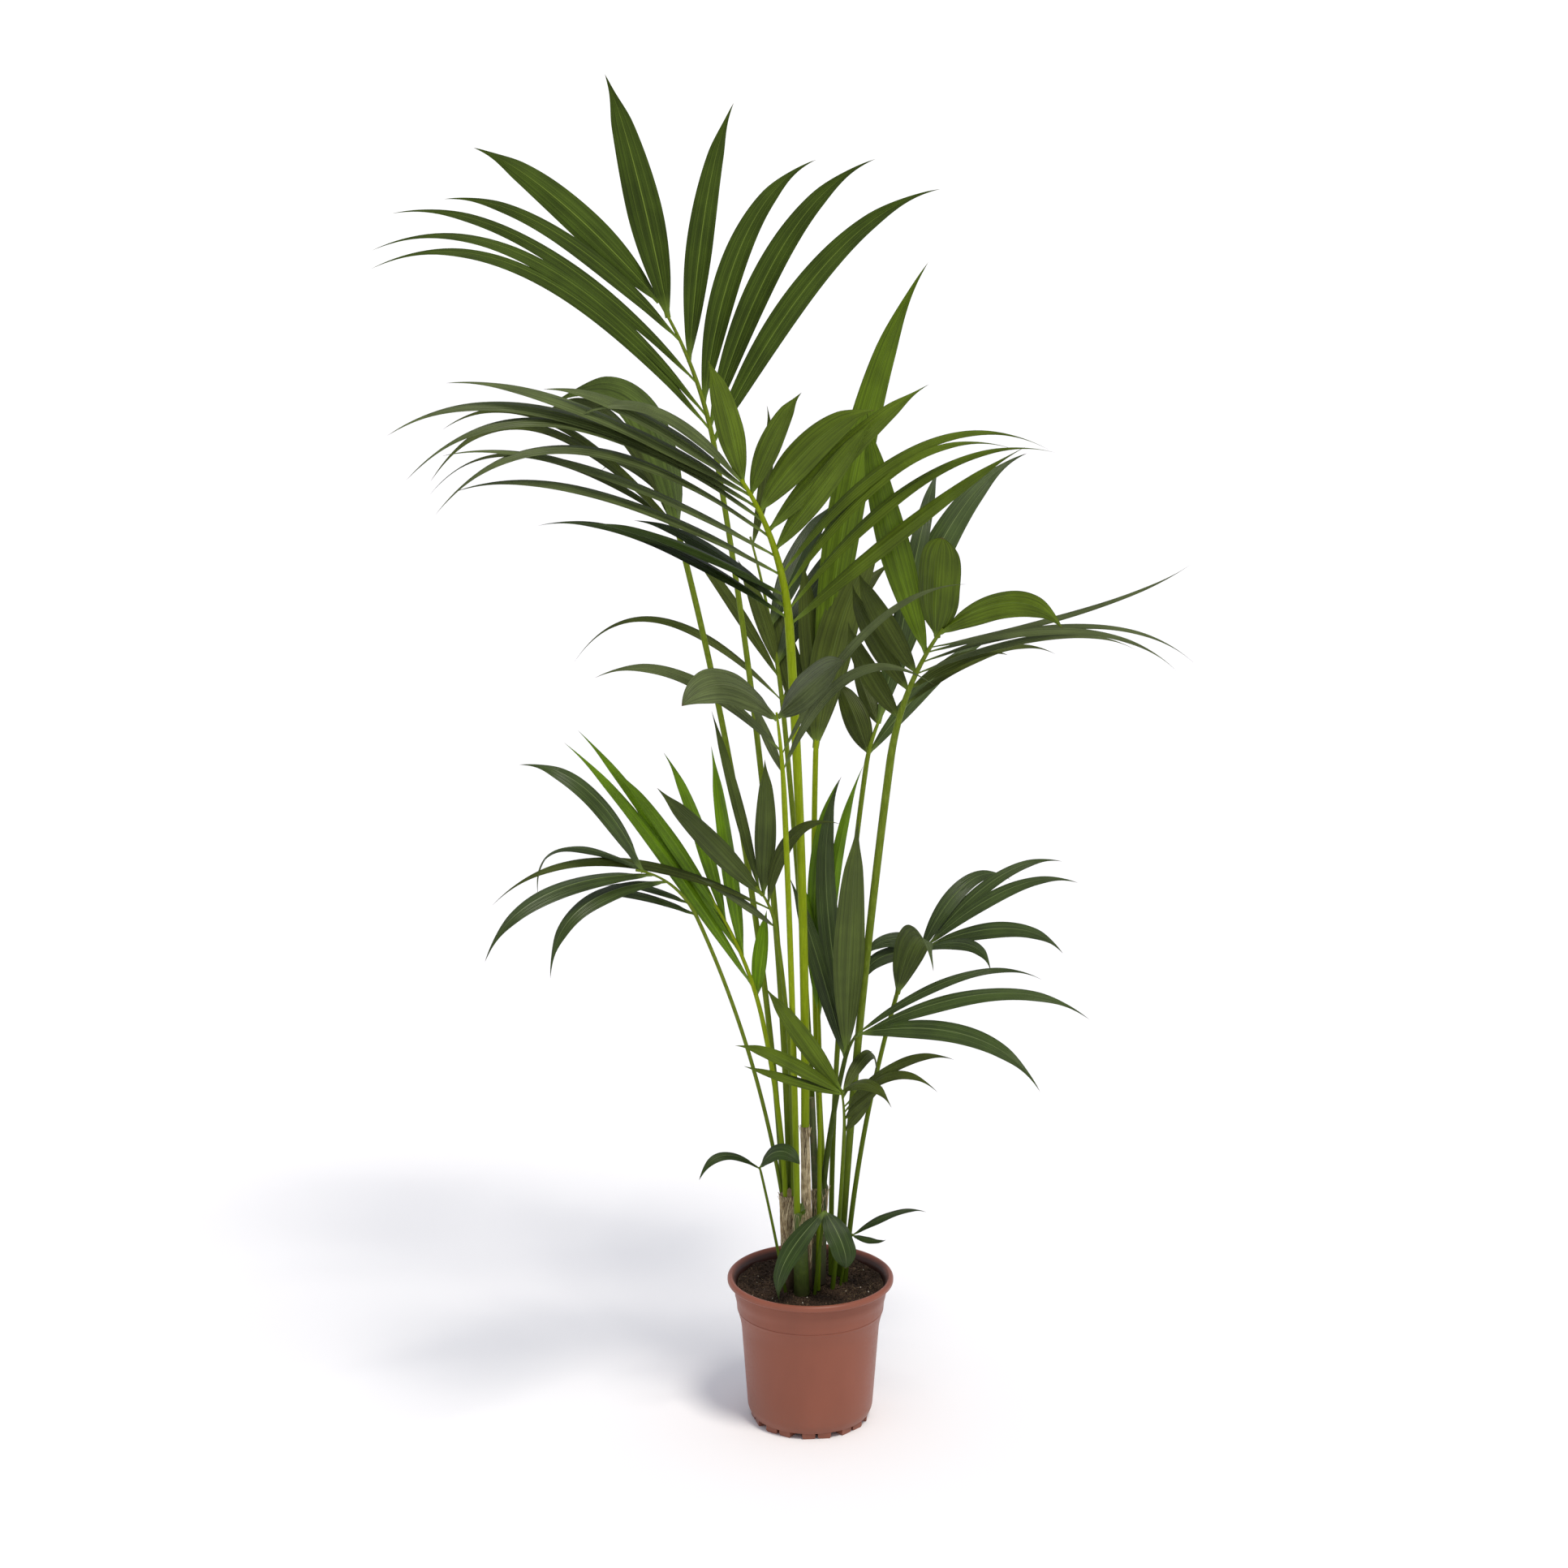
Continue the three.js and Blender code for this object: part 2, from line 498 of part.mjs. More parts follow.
function boxesApart(a, b, gap) {
  return [0, 1, 2].some((k) => a.min[k] > b.max[k] + gap || b.min[k] > a.max[k] + gap);
}

function isClear(solid, others) {
  const box = solid.boundingBox();
  return others.every((other) => boxesApart(box, other.box, CLEARANCE)
    || solid.minGap(other.solid, 2 * CLEARANCE) >= CLEARANCE);
}

function placed(solid) {
  return { solid, box: solid.boundingBox() };
}

// Small turns of a leaflet about its root, tried in turn until it touches nothing:
// shift of the tip back and up, and shift of the root along the rachis.
const TURNS = [[0, 0, 0], [14, 0, 0], [-14, 0, 0], [14, 8, 0.04], [-14, 8, 0.04], [28, 0, 0.03], [-28, 0, 0.03],
  [0, 14, 0.06], [42, 8, 0.04], [-42, 8, 0.04], [60, 16, 0.08], [-60, 16, 0.08], [20, -20, 0.1], [-20, -20, 0.1]];

function leavesOf(frond, limb, others) {
  const found = [];
  for (const side of [frond.left, frond.right]) {
    for (const sizes of side) {
      const row = leafRow(sizes);
      for (const [back, up, shift] of TURNS) {
        const chord = row.chord.clone().add(new THREE.Vector3(0, back, up)).setLength(row.chord.length());
        const at = Math.min(Math.max(row.at + shift, 0.02), 0.97);
        const leaf = makeLeaf(limb, frond.face, { ...row, at, chord });
        if (isClear(leaf, others)) {
          found.push(leaf);
          break;
        }
      }
    }
  }
  return found;
}

const MATERIALS = {
  pot: new THREE.MeshStandardMaterial({ color: 0xa8644a, roughness: 0.5, metalness: 0 }),
  soil: new THREE.MeshStandardMaterial({ color: 0x2a1d15, roughness: 0.95, metalness: 0 }),
  sheath: new THREE.MeshStandardMaterial({ color: 0x7d8a45, roughness: 0.7, metalness: 0 }),
  stalk: new THREE.MeshStandardMaterial({ color: 0x7ba12f, roughness: 0.5, metalness: 0 }),
  leaf: new THREE.MeshStandardMaterial({ color: 0x3c5f24, roughness: 0.55, metalness: 0 }),
};

function meshOf(name, solid, material) {
  const { numProp, vertProperties, triVerts } = solid.getMesh();
  const geometry = new THREE.BufferGeometry();
  const positions = new Float32Array((vertProperties.length / numProp) * 3);
  for (let k = 0; k < positions.length / 3; k += 1) {
    positions.set(vertProperties.subarray(k * numProp, k * numProp + 3), 3 * k);
  }
  geometry.setAttribute('position', new THREE.BufferAttribute(positions, 3));
  geometry.setIndex(new THREE.BufferAttribute(new Uint32Array(triVerts), 1));
  geometry.computeVertexNormals();
  const mesh = new THREE.Mesh(geometry, material);
  mesh.name = name;
  return mesh;
}

function makePalm() {
  const palm = new THREE.Group();
  palm.name = 'kentia_palm';
  const solids = [];
  const add = (name, solid, material) => {
    solids.push(placed(solid));
    palm.add(meshOf(name, solid, material));
  };
  add('pot', makePot(), MATERIALS.pot);
  add('soil', makeSoil(), MATERIALS.soil);
  STEMS.forEach((stem) => add(stem.name, makeStem(stem), MATERIALS.sheath));
  const cut = [CUT_STALK.foot, CUT_STALK.top].map((centre, end) => ringAround(vec(centre), UPWARD,
    new THREE.Vector3(1, 0, 0), CUT_STALK.radius[end], STALK_SIDES));
  add('cut_stalk', solidFromRings(cut), MATERIALS.sheath);
  const limbs = FRONDS.map(limbOf);
  FRONDS.forEach((frond, k) => add(`stalk_${frond.name}`, makeStalk(frond, limbs[k]), MATERIALS.stalk));
  const spines = FRONDS.map((frond, k) => placed(makeRachis(frond, limbs[k])));
  const blades = [];
  FRONDS.forEach((frond, k) => {
    const otherSpines = spines.filter((spine, other) => other > k);
    const leaves = leavesOf(frond, limbs[k], [...solids, ...otherSpines, ...blades]);
    const blade = wasm.Manifold.union([spines[k].solid, ...leaves]).simplify(FINEST_DETAIL);
    blades.push(placed(blade));
    palm.add(meshOf(`frond_${frond.name}`, blade, MATERIALS.leaf));
  });
  return palm;
}

export default makePalm();
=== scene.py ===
"""A kentia palm in a plastic nursery pot, dressed over its solids.

The frame is in metres. +X is to the right in the photograph, +Y is away from its camera, +Z is up,
and the flat underside of the pot lies on z = 0. Sizes below are in millimetres unless they say so.
"""

import math

import bpy
import numpy as np
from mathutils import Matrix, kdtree


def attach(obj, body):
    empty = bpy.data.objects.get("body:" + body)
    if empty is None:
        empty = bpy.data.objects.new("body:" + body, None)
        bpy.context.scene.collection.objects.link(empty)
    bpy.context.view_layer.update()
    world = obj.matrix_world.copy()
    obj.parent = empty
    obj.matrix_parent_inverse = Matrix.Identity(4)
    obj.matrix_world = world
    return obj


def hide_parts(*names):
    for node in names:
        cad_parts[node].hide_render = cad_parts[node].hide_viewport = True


SEED = 20
MM = 0.001

# The camera of the photograph: place in metres, tilt in degrees, lens and sensor in millimetres.
CAMERA_PLACE = (-0.0334, -3.5, 1.655)
CAMERA_DOWN = 13.28
CAMERA_LENS = 67.88
SENSOR_WIDTH = 36.0

# One broad sun, its width and turns in degrees, and a room that is white at eye level and cooler overhead.
SUN = {"energy": 1.9, "width": 15, "turns": (26, 0, 33), "colour": "#fff9f0"}
ROOM = {"eye_level": (1.1, 1.1, 1.1, 1), "overhead": (0.565, 0.58, 0.645, 1), "change": (0.04, 0.18)}
FLOOR_REACH = 16000.0

# The same driving sizes as in the solids.
SOIL_TOP = 175.0
CLEARANCE = 0.3
NECK_BEND = 0.35
LEAF_WIDEST = 0.4
LEAF_THICKNESS = 0.45
THINNEST_RACHIS = 1.4

POT = {
    "segments": 180,
    "rim_radius": 105.0,
    "rim_top": 191.5,
    "lip_height": 8.0,
    "mouth_radius": 98.0,
    "collar_radius": 95.5,
    "body_foot_radius": 79.5,
    "chamfer_top": 17.0,
    "foot_radius": 75.5,
    "foot_height": 8.0,
    "floor_top": 11.5,
    "inner_chamfer": 2.0,
    "wall": 2.0,
    "pad_radius": 46.0,
    "pad_segments": 96,
    "sunk": 1.5,
    "foot_pairs": 9,
    "first_pair": -84.0,
    "foot_width": 17.4,
    "slit": 2.4,
    "foot_depth": 14.0,
    "foot_chamfer": 2.2,
    "foot_draft": 0.8,
    "foot_corner": 0.6,
}

# The collar draws in softly below the lip, has a fine groove round it and runs over into the body. Each is a
# radius and a height; the groove is cut this deep, between these distances below and above its middle.
COLLAR = {
    "flare": (96.1, 168.0),
    "waist": (93.6, 158.5),
    "groove": (92.9, 149.3),
    "step": (91.6, 145.0),
    "body": (87.5, 129.0),
}
GROOVE_DEPTH = 0.7
GROOVE_BELOW = 1.1
GROOVE_ABOVE = 0.4

# The soil is level to a radius and rises to the wall. Its top is a net of rings, and its lumps are waves:
# length, turn, shift and height.
SOIL = {
    "flat_radius": 62.0, "edge_radius": 93.1, "edge_top": 181.0, "edge_drop": 4.0, "gap": 0.4, "settled": 1.2,
    "rings": 56, "sides": 150, "outer": 92.6, "bed_outer": 91.0,
}
SOIL_LUMPS = (
    (23.0, 0.4, 1.3, 1.1), (17.0, 2.1, 0.2, 0.9), (11.0, 1.0, 2.6, 0.7), (7.5, 3.0, 0.9, 0.55),
    (5.2, 0.1, 1.9, 0.4),
)

# Crumbs strewn on the soil: how many to a square metre, and their least and greatest size in metres.
CRUMB_INPUTS = ("Density", "Seed", "Detail", "Smallest", "Largest", "Jag")
CRUMB_BEDS = {
    "fine_crumbs": (150000.0, 3, 1, 0.0006, 0.0016, 0.9),
    "coarse_crumbs": (26000.0, 5, 2, 0.0013, 0.0034, 1.1),
    "bark_bits": (9000.0, 11, 1, 0.0008, 0.0022, 1.2),
    "perlite_bits": (1300.0, 8, 2, 0.0006, 0.0015, 0.8),
}

# Fine roots lie on the soil in short steps.
ROOTS = {
    "count": 70, "spread": 86.0, "limit": 90.0, "step": 2.2, "steps": (8, 18), "bend": 0.25, "wander": 0.3,
    "lift": 0.5, "thick": (0.15, 0.4),
}

# Short upright stems: centre at the soil, centre at the top, radius at foot, middle and top, the finish of
# the sheaths, the number of fine ribs round them, and the lip of each: share of the height, turn and depth.
STEMS = [
    {"name": "stem_front", "foot": (-11, -24), "top": (-14, -27, 285), "radius": (10.6, 9.6, 8.2),
     "sheath": "green", "ribs": 34, "lips": [(0.6, 0.6, 0.6)]},
    {"name": "stem_middle", "foot": (-4, -5), "top": (-7, -16, 395), "radius": (6.5, 6, 5.2),
     "sheath": "dry", "ribs": 20, "lips": [(0.5, 2.2, 0.5), (0.8, 5.0, 0.4)]},
    {"name": "stem_left", "foot": (-28, -7), "top": (-29, -3, 300), "radius": (9, 8.8, 10.4),
     "sheath": "dry", "ribs": 28, "lips": [(0.45, 1.0, 0.7), (0.78, 4.0, 0.6)]},
    {"name": "stem_back", "foot": (10, 12), "top": (12, 12, 305), "radius": (10, 9.6, 10.6),
     "sheath": "old", "ribs": 28, "lips": [(0.6, 2.0, 0.6)]},
]
# The skin of the sheaths lies below the solid's face before its relief is added. Ribs and lips are heights of
# that relief; the slant and softness of a lip and the hollow below it are shares of the stem's height.
SHEATH = {
    "sides": 72, "levels": 96, "sunk": 0.8, "rib": 0.22, "fine_rib": 0.12, "slant": 0.07, "softness": 0.004,
    "hollow": 0.25, "hollow_reach": 0.12, "raised": 6.0, "raised_from": 0.84,
}

# Fibres wound round each stem: how many, between which shares of its height, and how many of them end loose.
NETS = {
    "stem_left": (240, 0.15, 1.0, 0.35),
    "stem_middle": (260, 0.1, 1.0, 0.3),
    "stem_back": (90, 0.4, 1.0, 0.3),
    "stem_front": (24, 0.7, 1.0, 0.5),
}
FIBRE = {
    "points": 14, "slope": (0.25, 1.3), "rise": (0.15, 0.5), "wave": 0.12, "sunk": 0.3, "bulge": (0, 0.5),
    "fringe": 3.5, "thick": (0.16, 0.42), "sides": 5,
}
CUT_STALK = {"foot": (5, 7, 305.3), "top": (1, -4, 428), "radius": (3.4, 4.0), "worn": 0.8, "points": 16}


def spray(tone, *rows):
    """Leaflets that share a finish: its name with each leaflet's row of sizes."""
    return [(tone, row) for row in rows]


# Each frond: foot of its stalk, neck where the blade begins, tip of its rachis, radius of the stalk at foot
# and neck, the way that the upper face of the blade looks, the finish of the stalk, and its own bend where
# the usual one doesn't fit. Each leaflet: place along the rachis, how far the tip lies across, back and up
# from the root, arch over the straight line, greatest width, how level it lies, and how blunt its end is
# (1 blunt, 0 usual, below 0 drawn out).
FRONDS = [
    {
        "name": "top", "foot": [-26, 0, 300.3], "neck": [-116, 72, 1222], "crown": [-203, 150, 1425],
        "thick": [4.4, 3.4], "face": [0.3, -1, 0.1], "stalk": "petiole_mid",
        "leaflets": [
            *spray("lined", [0.13, -393, -92, 196, 72, 25, 0.55], [0.2, -391, -70, 200, 70, 25, 0.55],
                   [0.38, -358, -48, 202, 46, 23, 0.5], [0.62, -278, -34, 168, 32, 25, 0.45],
                   [0.85, -220, -22, 184, 16, 40, 0.1], [0.75, -76, 42, 288, 6, 44, 0],
                   [0.06, 272, 20, 300, 40, 32, 0], [0.14, 200, 62, 316, 38, 33, 0],
                   [0.26, 136, 74, 288, 38, 33, 0], [0.49, 54, 64, 306, 12, 33, 0]),
        ],
    },
    {
        "name": "middle", "foot": [-7, -16, 395.3], "neck": [-27, -78, 1036], "crown": [-82, -140, 1218],
        "thick": [5.2, 5.4], "face": [0.2, -1, 0.5], "stalk": "petiole_bright", "bend": 0.15,
        "leaflets": [
            *spray("dark", [0.06, -282, -134, 128, 28, 27, 0.6, -0.3],
                   [0.2, -226, -138, 104, 14, 26, 0.6, -0.2], [0.12, -176, -60, 112, 14, 25, 0.5]),
            *spray("arched_painted_sheen", [0.33, -362, -160, 118, 36, 24, 0.6], [0.45, -368, -162, 136, 32, 23, 0.6],
                   [0.58, -368, -162, 48, 80, 24, 0.6], [0.69, -392, -156, 66, 80, 26, 0.6],
                   [0.79, -404, -146, 98, 58, 28, 0.6], [0.88, -332, -128, 140, 24, 28, 0.55],
                   [0.93, -224, -90, 122, 20, 27, 0.5], [0.97, -186, -76, 82, 38, 22, 0.45]),
            *spray("fresh", [0.02, 266, -108, 222, 8, 22, 0.3, -0.2],
                   [0.11, 302, -100, 196, 48, 20, 0.45, -0.5], [0.22, 258, -92, 178, 50, 20, 0.45, -0.4],
                   [0.34, 304, -76, 152, 62, 20, 0.45, -0.6], [0.49, 110, -62, 158, 0, 28, 0],
                   [0.62, 182, -52, 174, 8, 31, 0, -0.2], [0.76, 130, -40, 120, 16, 38, 0, 0.2],
                   [0.88, 58, -28, 120, 6, 27, 0], [0.97, -40, -18, 142, 4, 32, 0]),
        ],
    },
    {
        "name": "left_back", "foot": [-34.5, 3, 300.3], "neck": [-160, 160, 1092], "crown": [-192, 215, 1161],
        "thick": [3.6, 3.8], "face": [0.5, -0.8, 0.6], "stalk": "petiole_mid", "bend": 0.85,
        "leaflets": [
            *spray("deep", [0.25, -290, -150, 82, 88, 26, 0.6], [0.33, -276, -114, 134, 60, 22, 0.6],
                   [0.32, -170, -112, 140, 68, 30, 0.3]),
            *spray("ribbed_painted_light", [0.2, -152, -70, 170, 80, 56, 0]),
            *spray("deep", [0.4, -318, 100, 20, 62, 22, 0.6], [0.9, -80, 60, 20, 20, 20, 0.4]),
        ],
    },
    {
        "name": "back", "foot": [6.5, 18, 305.3], "neck": [-33, 115, 882], "crown": [-76, 205, 1101],
        "thick": [4.2, 3.2], "face": [0.2, -1, 0.2], "stalk": "petiole_mid",
        "leaflets": [
            *spray("deep", [0.11, -268, 108, 26, 70, 12, 0.4], [0.23, -128, 30, 178, 6, 16, 0.2],
                   [0.29, -50, 16, 132, 4, 21, 0], [0.1, 142, 130, 158, 10, 30, 0.1]),
            *spray("dark", [0.3, 100, 130, 150, 10, 32, 0], [0.5, 80, 120, 137, 10, 32, 0]),
            *spray("deep", [0.95, 18, 8, 176, -10, 16, 0]),
        ],
    },
    {
        "name": "front", "foot": [-17, -29, 285.3], "neck": [-33, -115, 837], "crown": [-42, -155, 950],
        "thick": [4.2, 3.4], "face": [0, -1, 0.5], "stalk": "petiole_bright",
        "leaflets": [
            *spray("grey", [0.29, -38, -6, 92, 0, 12, 0], [0.55, -210, -102, 106, 36, 18, 0.3],
                   [0.93, -106, -132, 42, 28, 44, 0.2, 0.7], [0.32, 172, -126, 126, 54, 14, 0.2],
                   [0.5, 210, -88, 216, 36, 11, 0.2], [0.95, 74, -112, 88, 4, 42, 0.1, 0.4]),
        ],
    },
    {
        "name": "right", "foot": [38, 36, 175.3], "neck": [93, -70, 873], "crown": [151, -125, 1044],
        "thick": [4.6, 4.8], "face": [-0.4, -1, 0.4], "stalk": "petiole_mid", "bend": 0.15,
        "leaflets": [
            *spray("deep", [0.3, -60, 34, 110, -8, 26, 0], [0.5, -66, 34, 122, -8, 26, 0],
                   [0.63, -68, 18, 118, -4, 28, 0]),
            *spray("bright", [0.75, -70, -28, 282, -8, 39, 0]),
            *spray("fresh", [0.91, 4, -38, 124, -3, 52, 0, 1]),
            *spray("deep", [0.39, 182, 28, 56, 28, 16, 0.6], [0.52, 114, -14, 42, 14, 20, 0.45]),
            *spray("grey", [0.63, 252, -46, 36, 26, 14, 0.6, -0.3],
                   [0.72, 306, -102, 16, 42, 15, 0.6, -0.4], [0.8, 274, -130, 2, 36, 16, 0.6, -0.4],
                   [0.84, 294, -52, 106, -13, 12, 0.6, -0.4]),
            *spray("fresh", [0.96, 130, -132, 28, 29, 33, 0.1, 0.3]),
        ],
    },
    {
        "name": "right_back", "foot": [17, 17.5, 305.3], "neck": [6, 80, 851], "crown": [13, 100, 889],
        "thick": [4.2, 3.4], "face": [0.1, -1, 0.1], "stalk": "petiole_bright",
        "leaflets": [
            *spray("deep", [0.26, -56, 96, 182, -8, 33, 0], [0.74, -20, 62, 200, 0, 30, 0],
                   [0.1, 94, 84, 256, 26, 50, 0]),
            *spray("bright", [0.62, 138, 146, 566, 31, 45, 0]),
        ],
    },
    {
        "name": "far", "foot": [27, 38, 175.3], "neck": [69, 100, 827], "crown": [101, 145, 904],
        "thick": [3.4, 3.2], "face": [-0.2, -1, 0.1], "stalk": "petiole_mid",
        "leaflets": [
            *spray("deep", [0.18, -40, 44, 84, 4, 34, 0], [0.59, -30, 58, 70, 0, 22, 0]),
            *spray("glossy", [0.17, 164, 86, 132, 16, 22, 0.2], [0.6, 192, 138, 322, 42, 42, 0.1],
                   [0.94, 66, 148, 272, 74, 25, 0]),
        ],
    },
    {
        "name": "left_low", "foot": [-36, -4, 300.3], "neck": [-138, -85, 685], "crown": [-207, -145, 759],
        "thick": [2.6, 2.4], "face": [0.5, -0.5, 0.8], "stalk": "petiole_mid",
        "leaflets": [
            *spray("glossy", [0.04, -128, -14, 22, 14, 22, 0.6], [0.2, -102, 34, 10, 10, 18, 0.6],
                   [0.59, -130, -108, -88, 44, 28, 0.55], [0.79, -186, -130, -70, 38, 30, 0.55],
                   [0.75, -144, 70, -48, 56, 17, 0.5], [0.9, -144, -4, 130, 36, 36, 0.2]),
        ],
    },
    {
        "name": "young", "foot": [-31.5, -9.5, 300.3], "neck": [-59, -30, 534], "crown": [-155, -80, 754],
        "thick": [3.4, 3], "face": [0.6, -1, 0.3], "stalk": "petiole_bright",
        "leaflets": [
            *spray("young", [0.21, -218, -112, 330, 12, 18, 0], [0.41, -188, -74, 292, 8, 18, 0],
                   [0.62, -124, -72, 200, 6, 18, 0], [0.14, 12, 44, 100, 0, 22, 0],
                   [0.35, -40, 38, 262, 20, 22, 0], [0.57, -76, 14, 212, 12, 20, 0]),
        ],
    },
    {
        "name": "young_back", "foot": [9, -12, 175.3], "neck": [11, 4, 482], "crown": [5, 26, 611],
        "thick": [3.6, 2.6], "face": [0.1, -1, 0.2], "stalk": "petiole_bright",
        "leaflets": [
            *spray("young", [0.39, -24, 16, 176, 4, 16, 0], [0.77, 28, 30, 242, 16, 18, 0],
                   [0.31, 54, 26, 322, 12, 18, 0], [0.85, 6, 8, 132, 8, 15, 0]),
        ],
    },
    {
        "name": "inner", "foot": [-23, -8, 300.3], "neck": [-43, -50, 660], "crown": [-67, -70, 719],
        "thick": [3, 2.6], "face": [0, -1, 0.4], "stalk": "petiole_mid",
        "leaflets": [
            *spray("grey", [0.04, -94, -40, 72, 4, 12, 0.4]),
            *spray("deep", [0.43, -322, -118, 32, 54, 16, 0.5]),
            *spray("olive", [0.74, -124, -76, 152, 0, 27, 0.1], [0.88, -58, 46, 212, 10, 14, 0]),
            *spray("deep", [0.55, 86, -60, 114, 30, 17, 0]),
            *spray("olive", [0.75, 2, -16, 172, -2, 26, 0]),
        ],
    },
    {
        "name": "right_low", "foot": [16, 7, 305.3], "neck": [41, -25, 482], "crown": [57, -40, 525],
        "thick": [4.2, 3], "face": [0.2, -1, 0.4], "stalk": "petiole_dark",
        "leaflets": [
            *spray("glossy", [0.13, -68, 56, 216, 4, 24, 0], [0.45, -10, 40, 336, -34, 27, 0]),
            *spray("olive", [0.25, 12, -48, 310, -4, 39, 0]),
            *spray("glossy", [0.96, 212, -160, -20, 39, 27, 0.2], [0.86, 280, -72, 44, 40, 24, 0.5],
                   [0.97, 228, 20, 62, 34, 14, 0.5]),
        ],
    },
    {
        "name": "right_mid", "foot": [44, 13, 175.3], "neck": [107, 45, 544], "crown": [152, 80, 606],
        "thick": [3.6, 2.8], "face": [0, -1, 0.5], "stalk": "petiole_mid",
        "leaflets": [
            *spray("olive", [0.04, 40, -106, 62, 52, 42, 0.1, 0.2]),
            *spray("glossy", [0.78, -74, -24, -44, 21, 22, 0.3], [0.93, -80, -26, -10, 15, 22, 0.3],
                   [0.8, 80, -94, 0, 22, 20, 0.4], [0.87, 168, -58, 8, 26, 25, 0.4],
                   [0.92, 188, 2, 80, 24, 20, 0.4], [0.97, 170, 52, 92, 24, 18, 0.4],
                   [0.75, 120, 88, 70, 36, 22, 0.1]),
        ],
    },
    {
        "name": "front_right", "foot": [28, -7, 175.3], "neck": [41, -40, 391], "crown": [37, -60, 458],
        "thick": [3.2, 2.4], "face": [0, -1, 0.4], "stalk": "petiole_mid",
        "leaflets": [
            *spray("fresh", [0.9, -120, -70, 60, 0, 15, 0.4], [0.94, -130, -66, 82, 8, 20, 0.3],
                   [0.97, -94, -6, 140, 0, 24, 0]),
            *spray("deep", [0.08, 34, -28, 54, 0, 11, 0], [0.34, 46, -38, 56, 2, 13, 0],
                   [0.5, 110, -100, 60, 30, 15, 0.4], [0.62, 130, -88, 90, 20, 15, 0.4],
                   [0.97, 58, -90, 10, 20, 18, 0.3], [0.78, 38, 58, 42, 16, 12, 0],
                   [0.86, 30, 70, -14, 48, 16, 0.1]),
        ],
    },
    {
        "name": "low_left", "foot": [-31, -24, 175.3], "neck": [-62, -42, 344], "crown": [-64, -43, 351],
        "thick": [2.2, 1.6], "face": [0, -1, 0.8], "stalk": "petiole_mid",
        "leaflets": [
            *spray("low", [0.82, -74, -42, 0, 24, 17, 0.6, 0.4], [0.96, 50, -32, 16, 18, 22, 0.2, 0.8]),
        ],
    },
    {
        "name": "low_front", "foot": [5, -26, 175.3], "neck": [16, -43, 286], "crown": [17, -44, 294],
        "thick": [2.2, 1.8], "face": [0, -0.4, 1], "stalk": "petiole_mid",
        "leaflets": [
            *spray("low", [0.97, -56, -38, -104, 21, 30, 0, 0.1], [0.97, 26, -30, -64, 9, 33, 0, 0.8]),
        ],
    },
    {
        "name": "low_right", "foot": [38, 2, 175.3], "neck": [50, -10, 243], "crown": [53, -12, 250],
        "thick": [2, 1.6], "face": [0, -0.3, 1], "stalk": "petiole_mid",
        "leaflets": [
            *spray("low", [0.9, 94, 20, 22, 12, 16, 0.4], [0.9, 42, -16, 0, -4, 14, 0.3]),
        ],
    },
]

# Small turns of a leaflet about its root, as the solids try them: back, up, and shift along the rachis. The
# tip of the solid's leaflet tells which one it took.
TURNS = [
    (0, 0, 0), (14, 0, 0), (-14, 0, 0), (14, 8, 0.04), (-14, 8, 0.04), (28, 0, 0.03), (-28, 0, 0.03),
    (0, 14, 0.06), (42, 8, 0.04), (-42, 8, 0.04), (60, 16, 0.08), (-60, 16, 0.08), (20, -20, 0.1),
    (-20, -20, 0.1),
]
TURN_TOLERANCE = 1.0
RACHIS_ENDS = (0.02, 0.97)

# How the leaflets of each kind look: colour of the face, the underside and the veins, how strongly the veins
# show, roughness, shine, and how far the two halves fold down from the midrib, in degrees. Some kinds are lit
# and shaded copies of one leaf, with painted light, shade and sheen in their colours, as marked.
TONE_PARTS = ("face", "back", "vein", "veins", "rough", "shine", "fold")
LEAF_TONES = {name: dict(zip(TONE_PARTS, row)) for name, *row in (
    ("lined", "#3b4c11", "#4f5a2e", "#7d9238", 0.7, 0.46, 0.12, 13),
    # dark is a shaded copy of the leaf: painted shade for leaflets that lie in the shade of others
    ("dark", "#2a3a10", "#37441f", "#52632f", 0.4, 0.38, 0.28, 14),
    ("deep", "#434e18", "#4c5830", "#667838", 0.4, 0.44, 0.18, 16),
    # ribbed is a lighter copy with strong dark ribs: painted light on a leaflet that others shade
    ("ribbed_painted_light", "#586a2a", "#5d6c36", "#2f3a14", 0.6, 0.46, 0.2, 12),
    ("olive", "#46531f", "#4c5930", "#69783e", 0.4, 0.44, 0.2, 12),
    ("fresh", "#526413", "#4e6524", "#78932f", 0.35, 0.42, 0.16, 18),
    ("bright", "#546a0e", "#567719", "#7e9c34", 0.3, 0.42, 0.16, 12),
    ("young", "#5f8106", "#6f901c", "#98b63c", 0.5, 0.38, 0.2, 30),
    # grey is greyed by painted sheen, the pale sky's reflection on leaflets that lie flat, beside its real
    # shine
    ("grey", "#545f36", "#636f48", "#7a8456", 0.35, 0.48, 0.22, 12),
    # arched is a lighter, greyer copy: painted sheen and painted light against the shade of the leaflets
    # above
    ("arched_painted_sheen", "#505c30", "#56643a", "#7a8848", 0.4, 0.42, 0.28, 14),
    # glossy shows its pale veins strongly as painted sheen lines along the leaflets
    ("glossy", "#38481b", "#49552f", "#76874c", 0.8, 0.38, 0.3, 14),
    ("low", "#2c3d12", "#45512e", "#7c8c55", 0.7, 0.4, 0.24, 9),
)}
UNDERSIDE_ROUGHER = 0.12

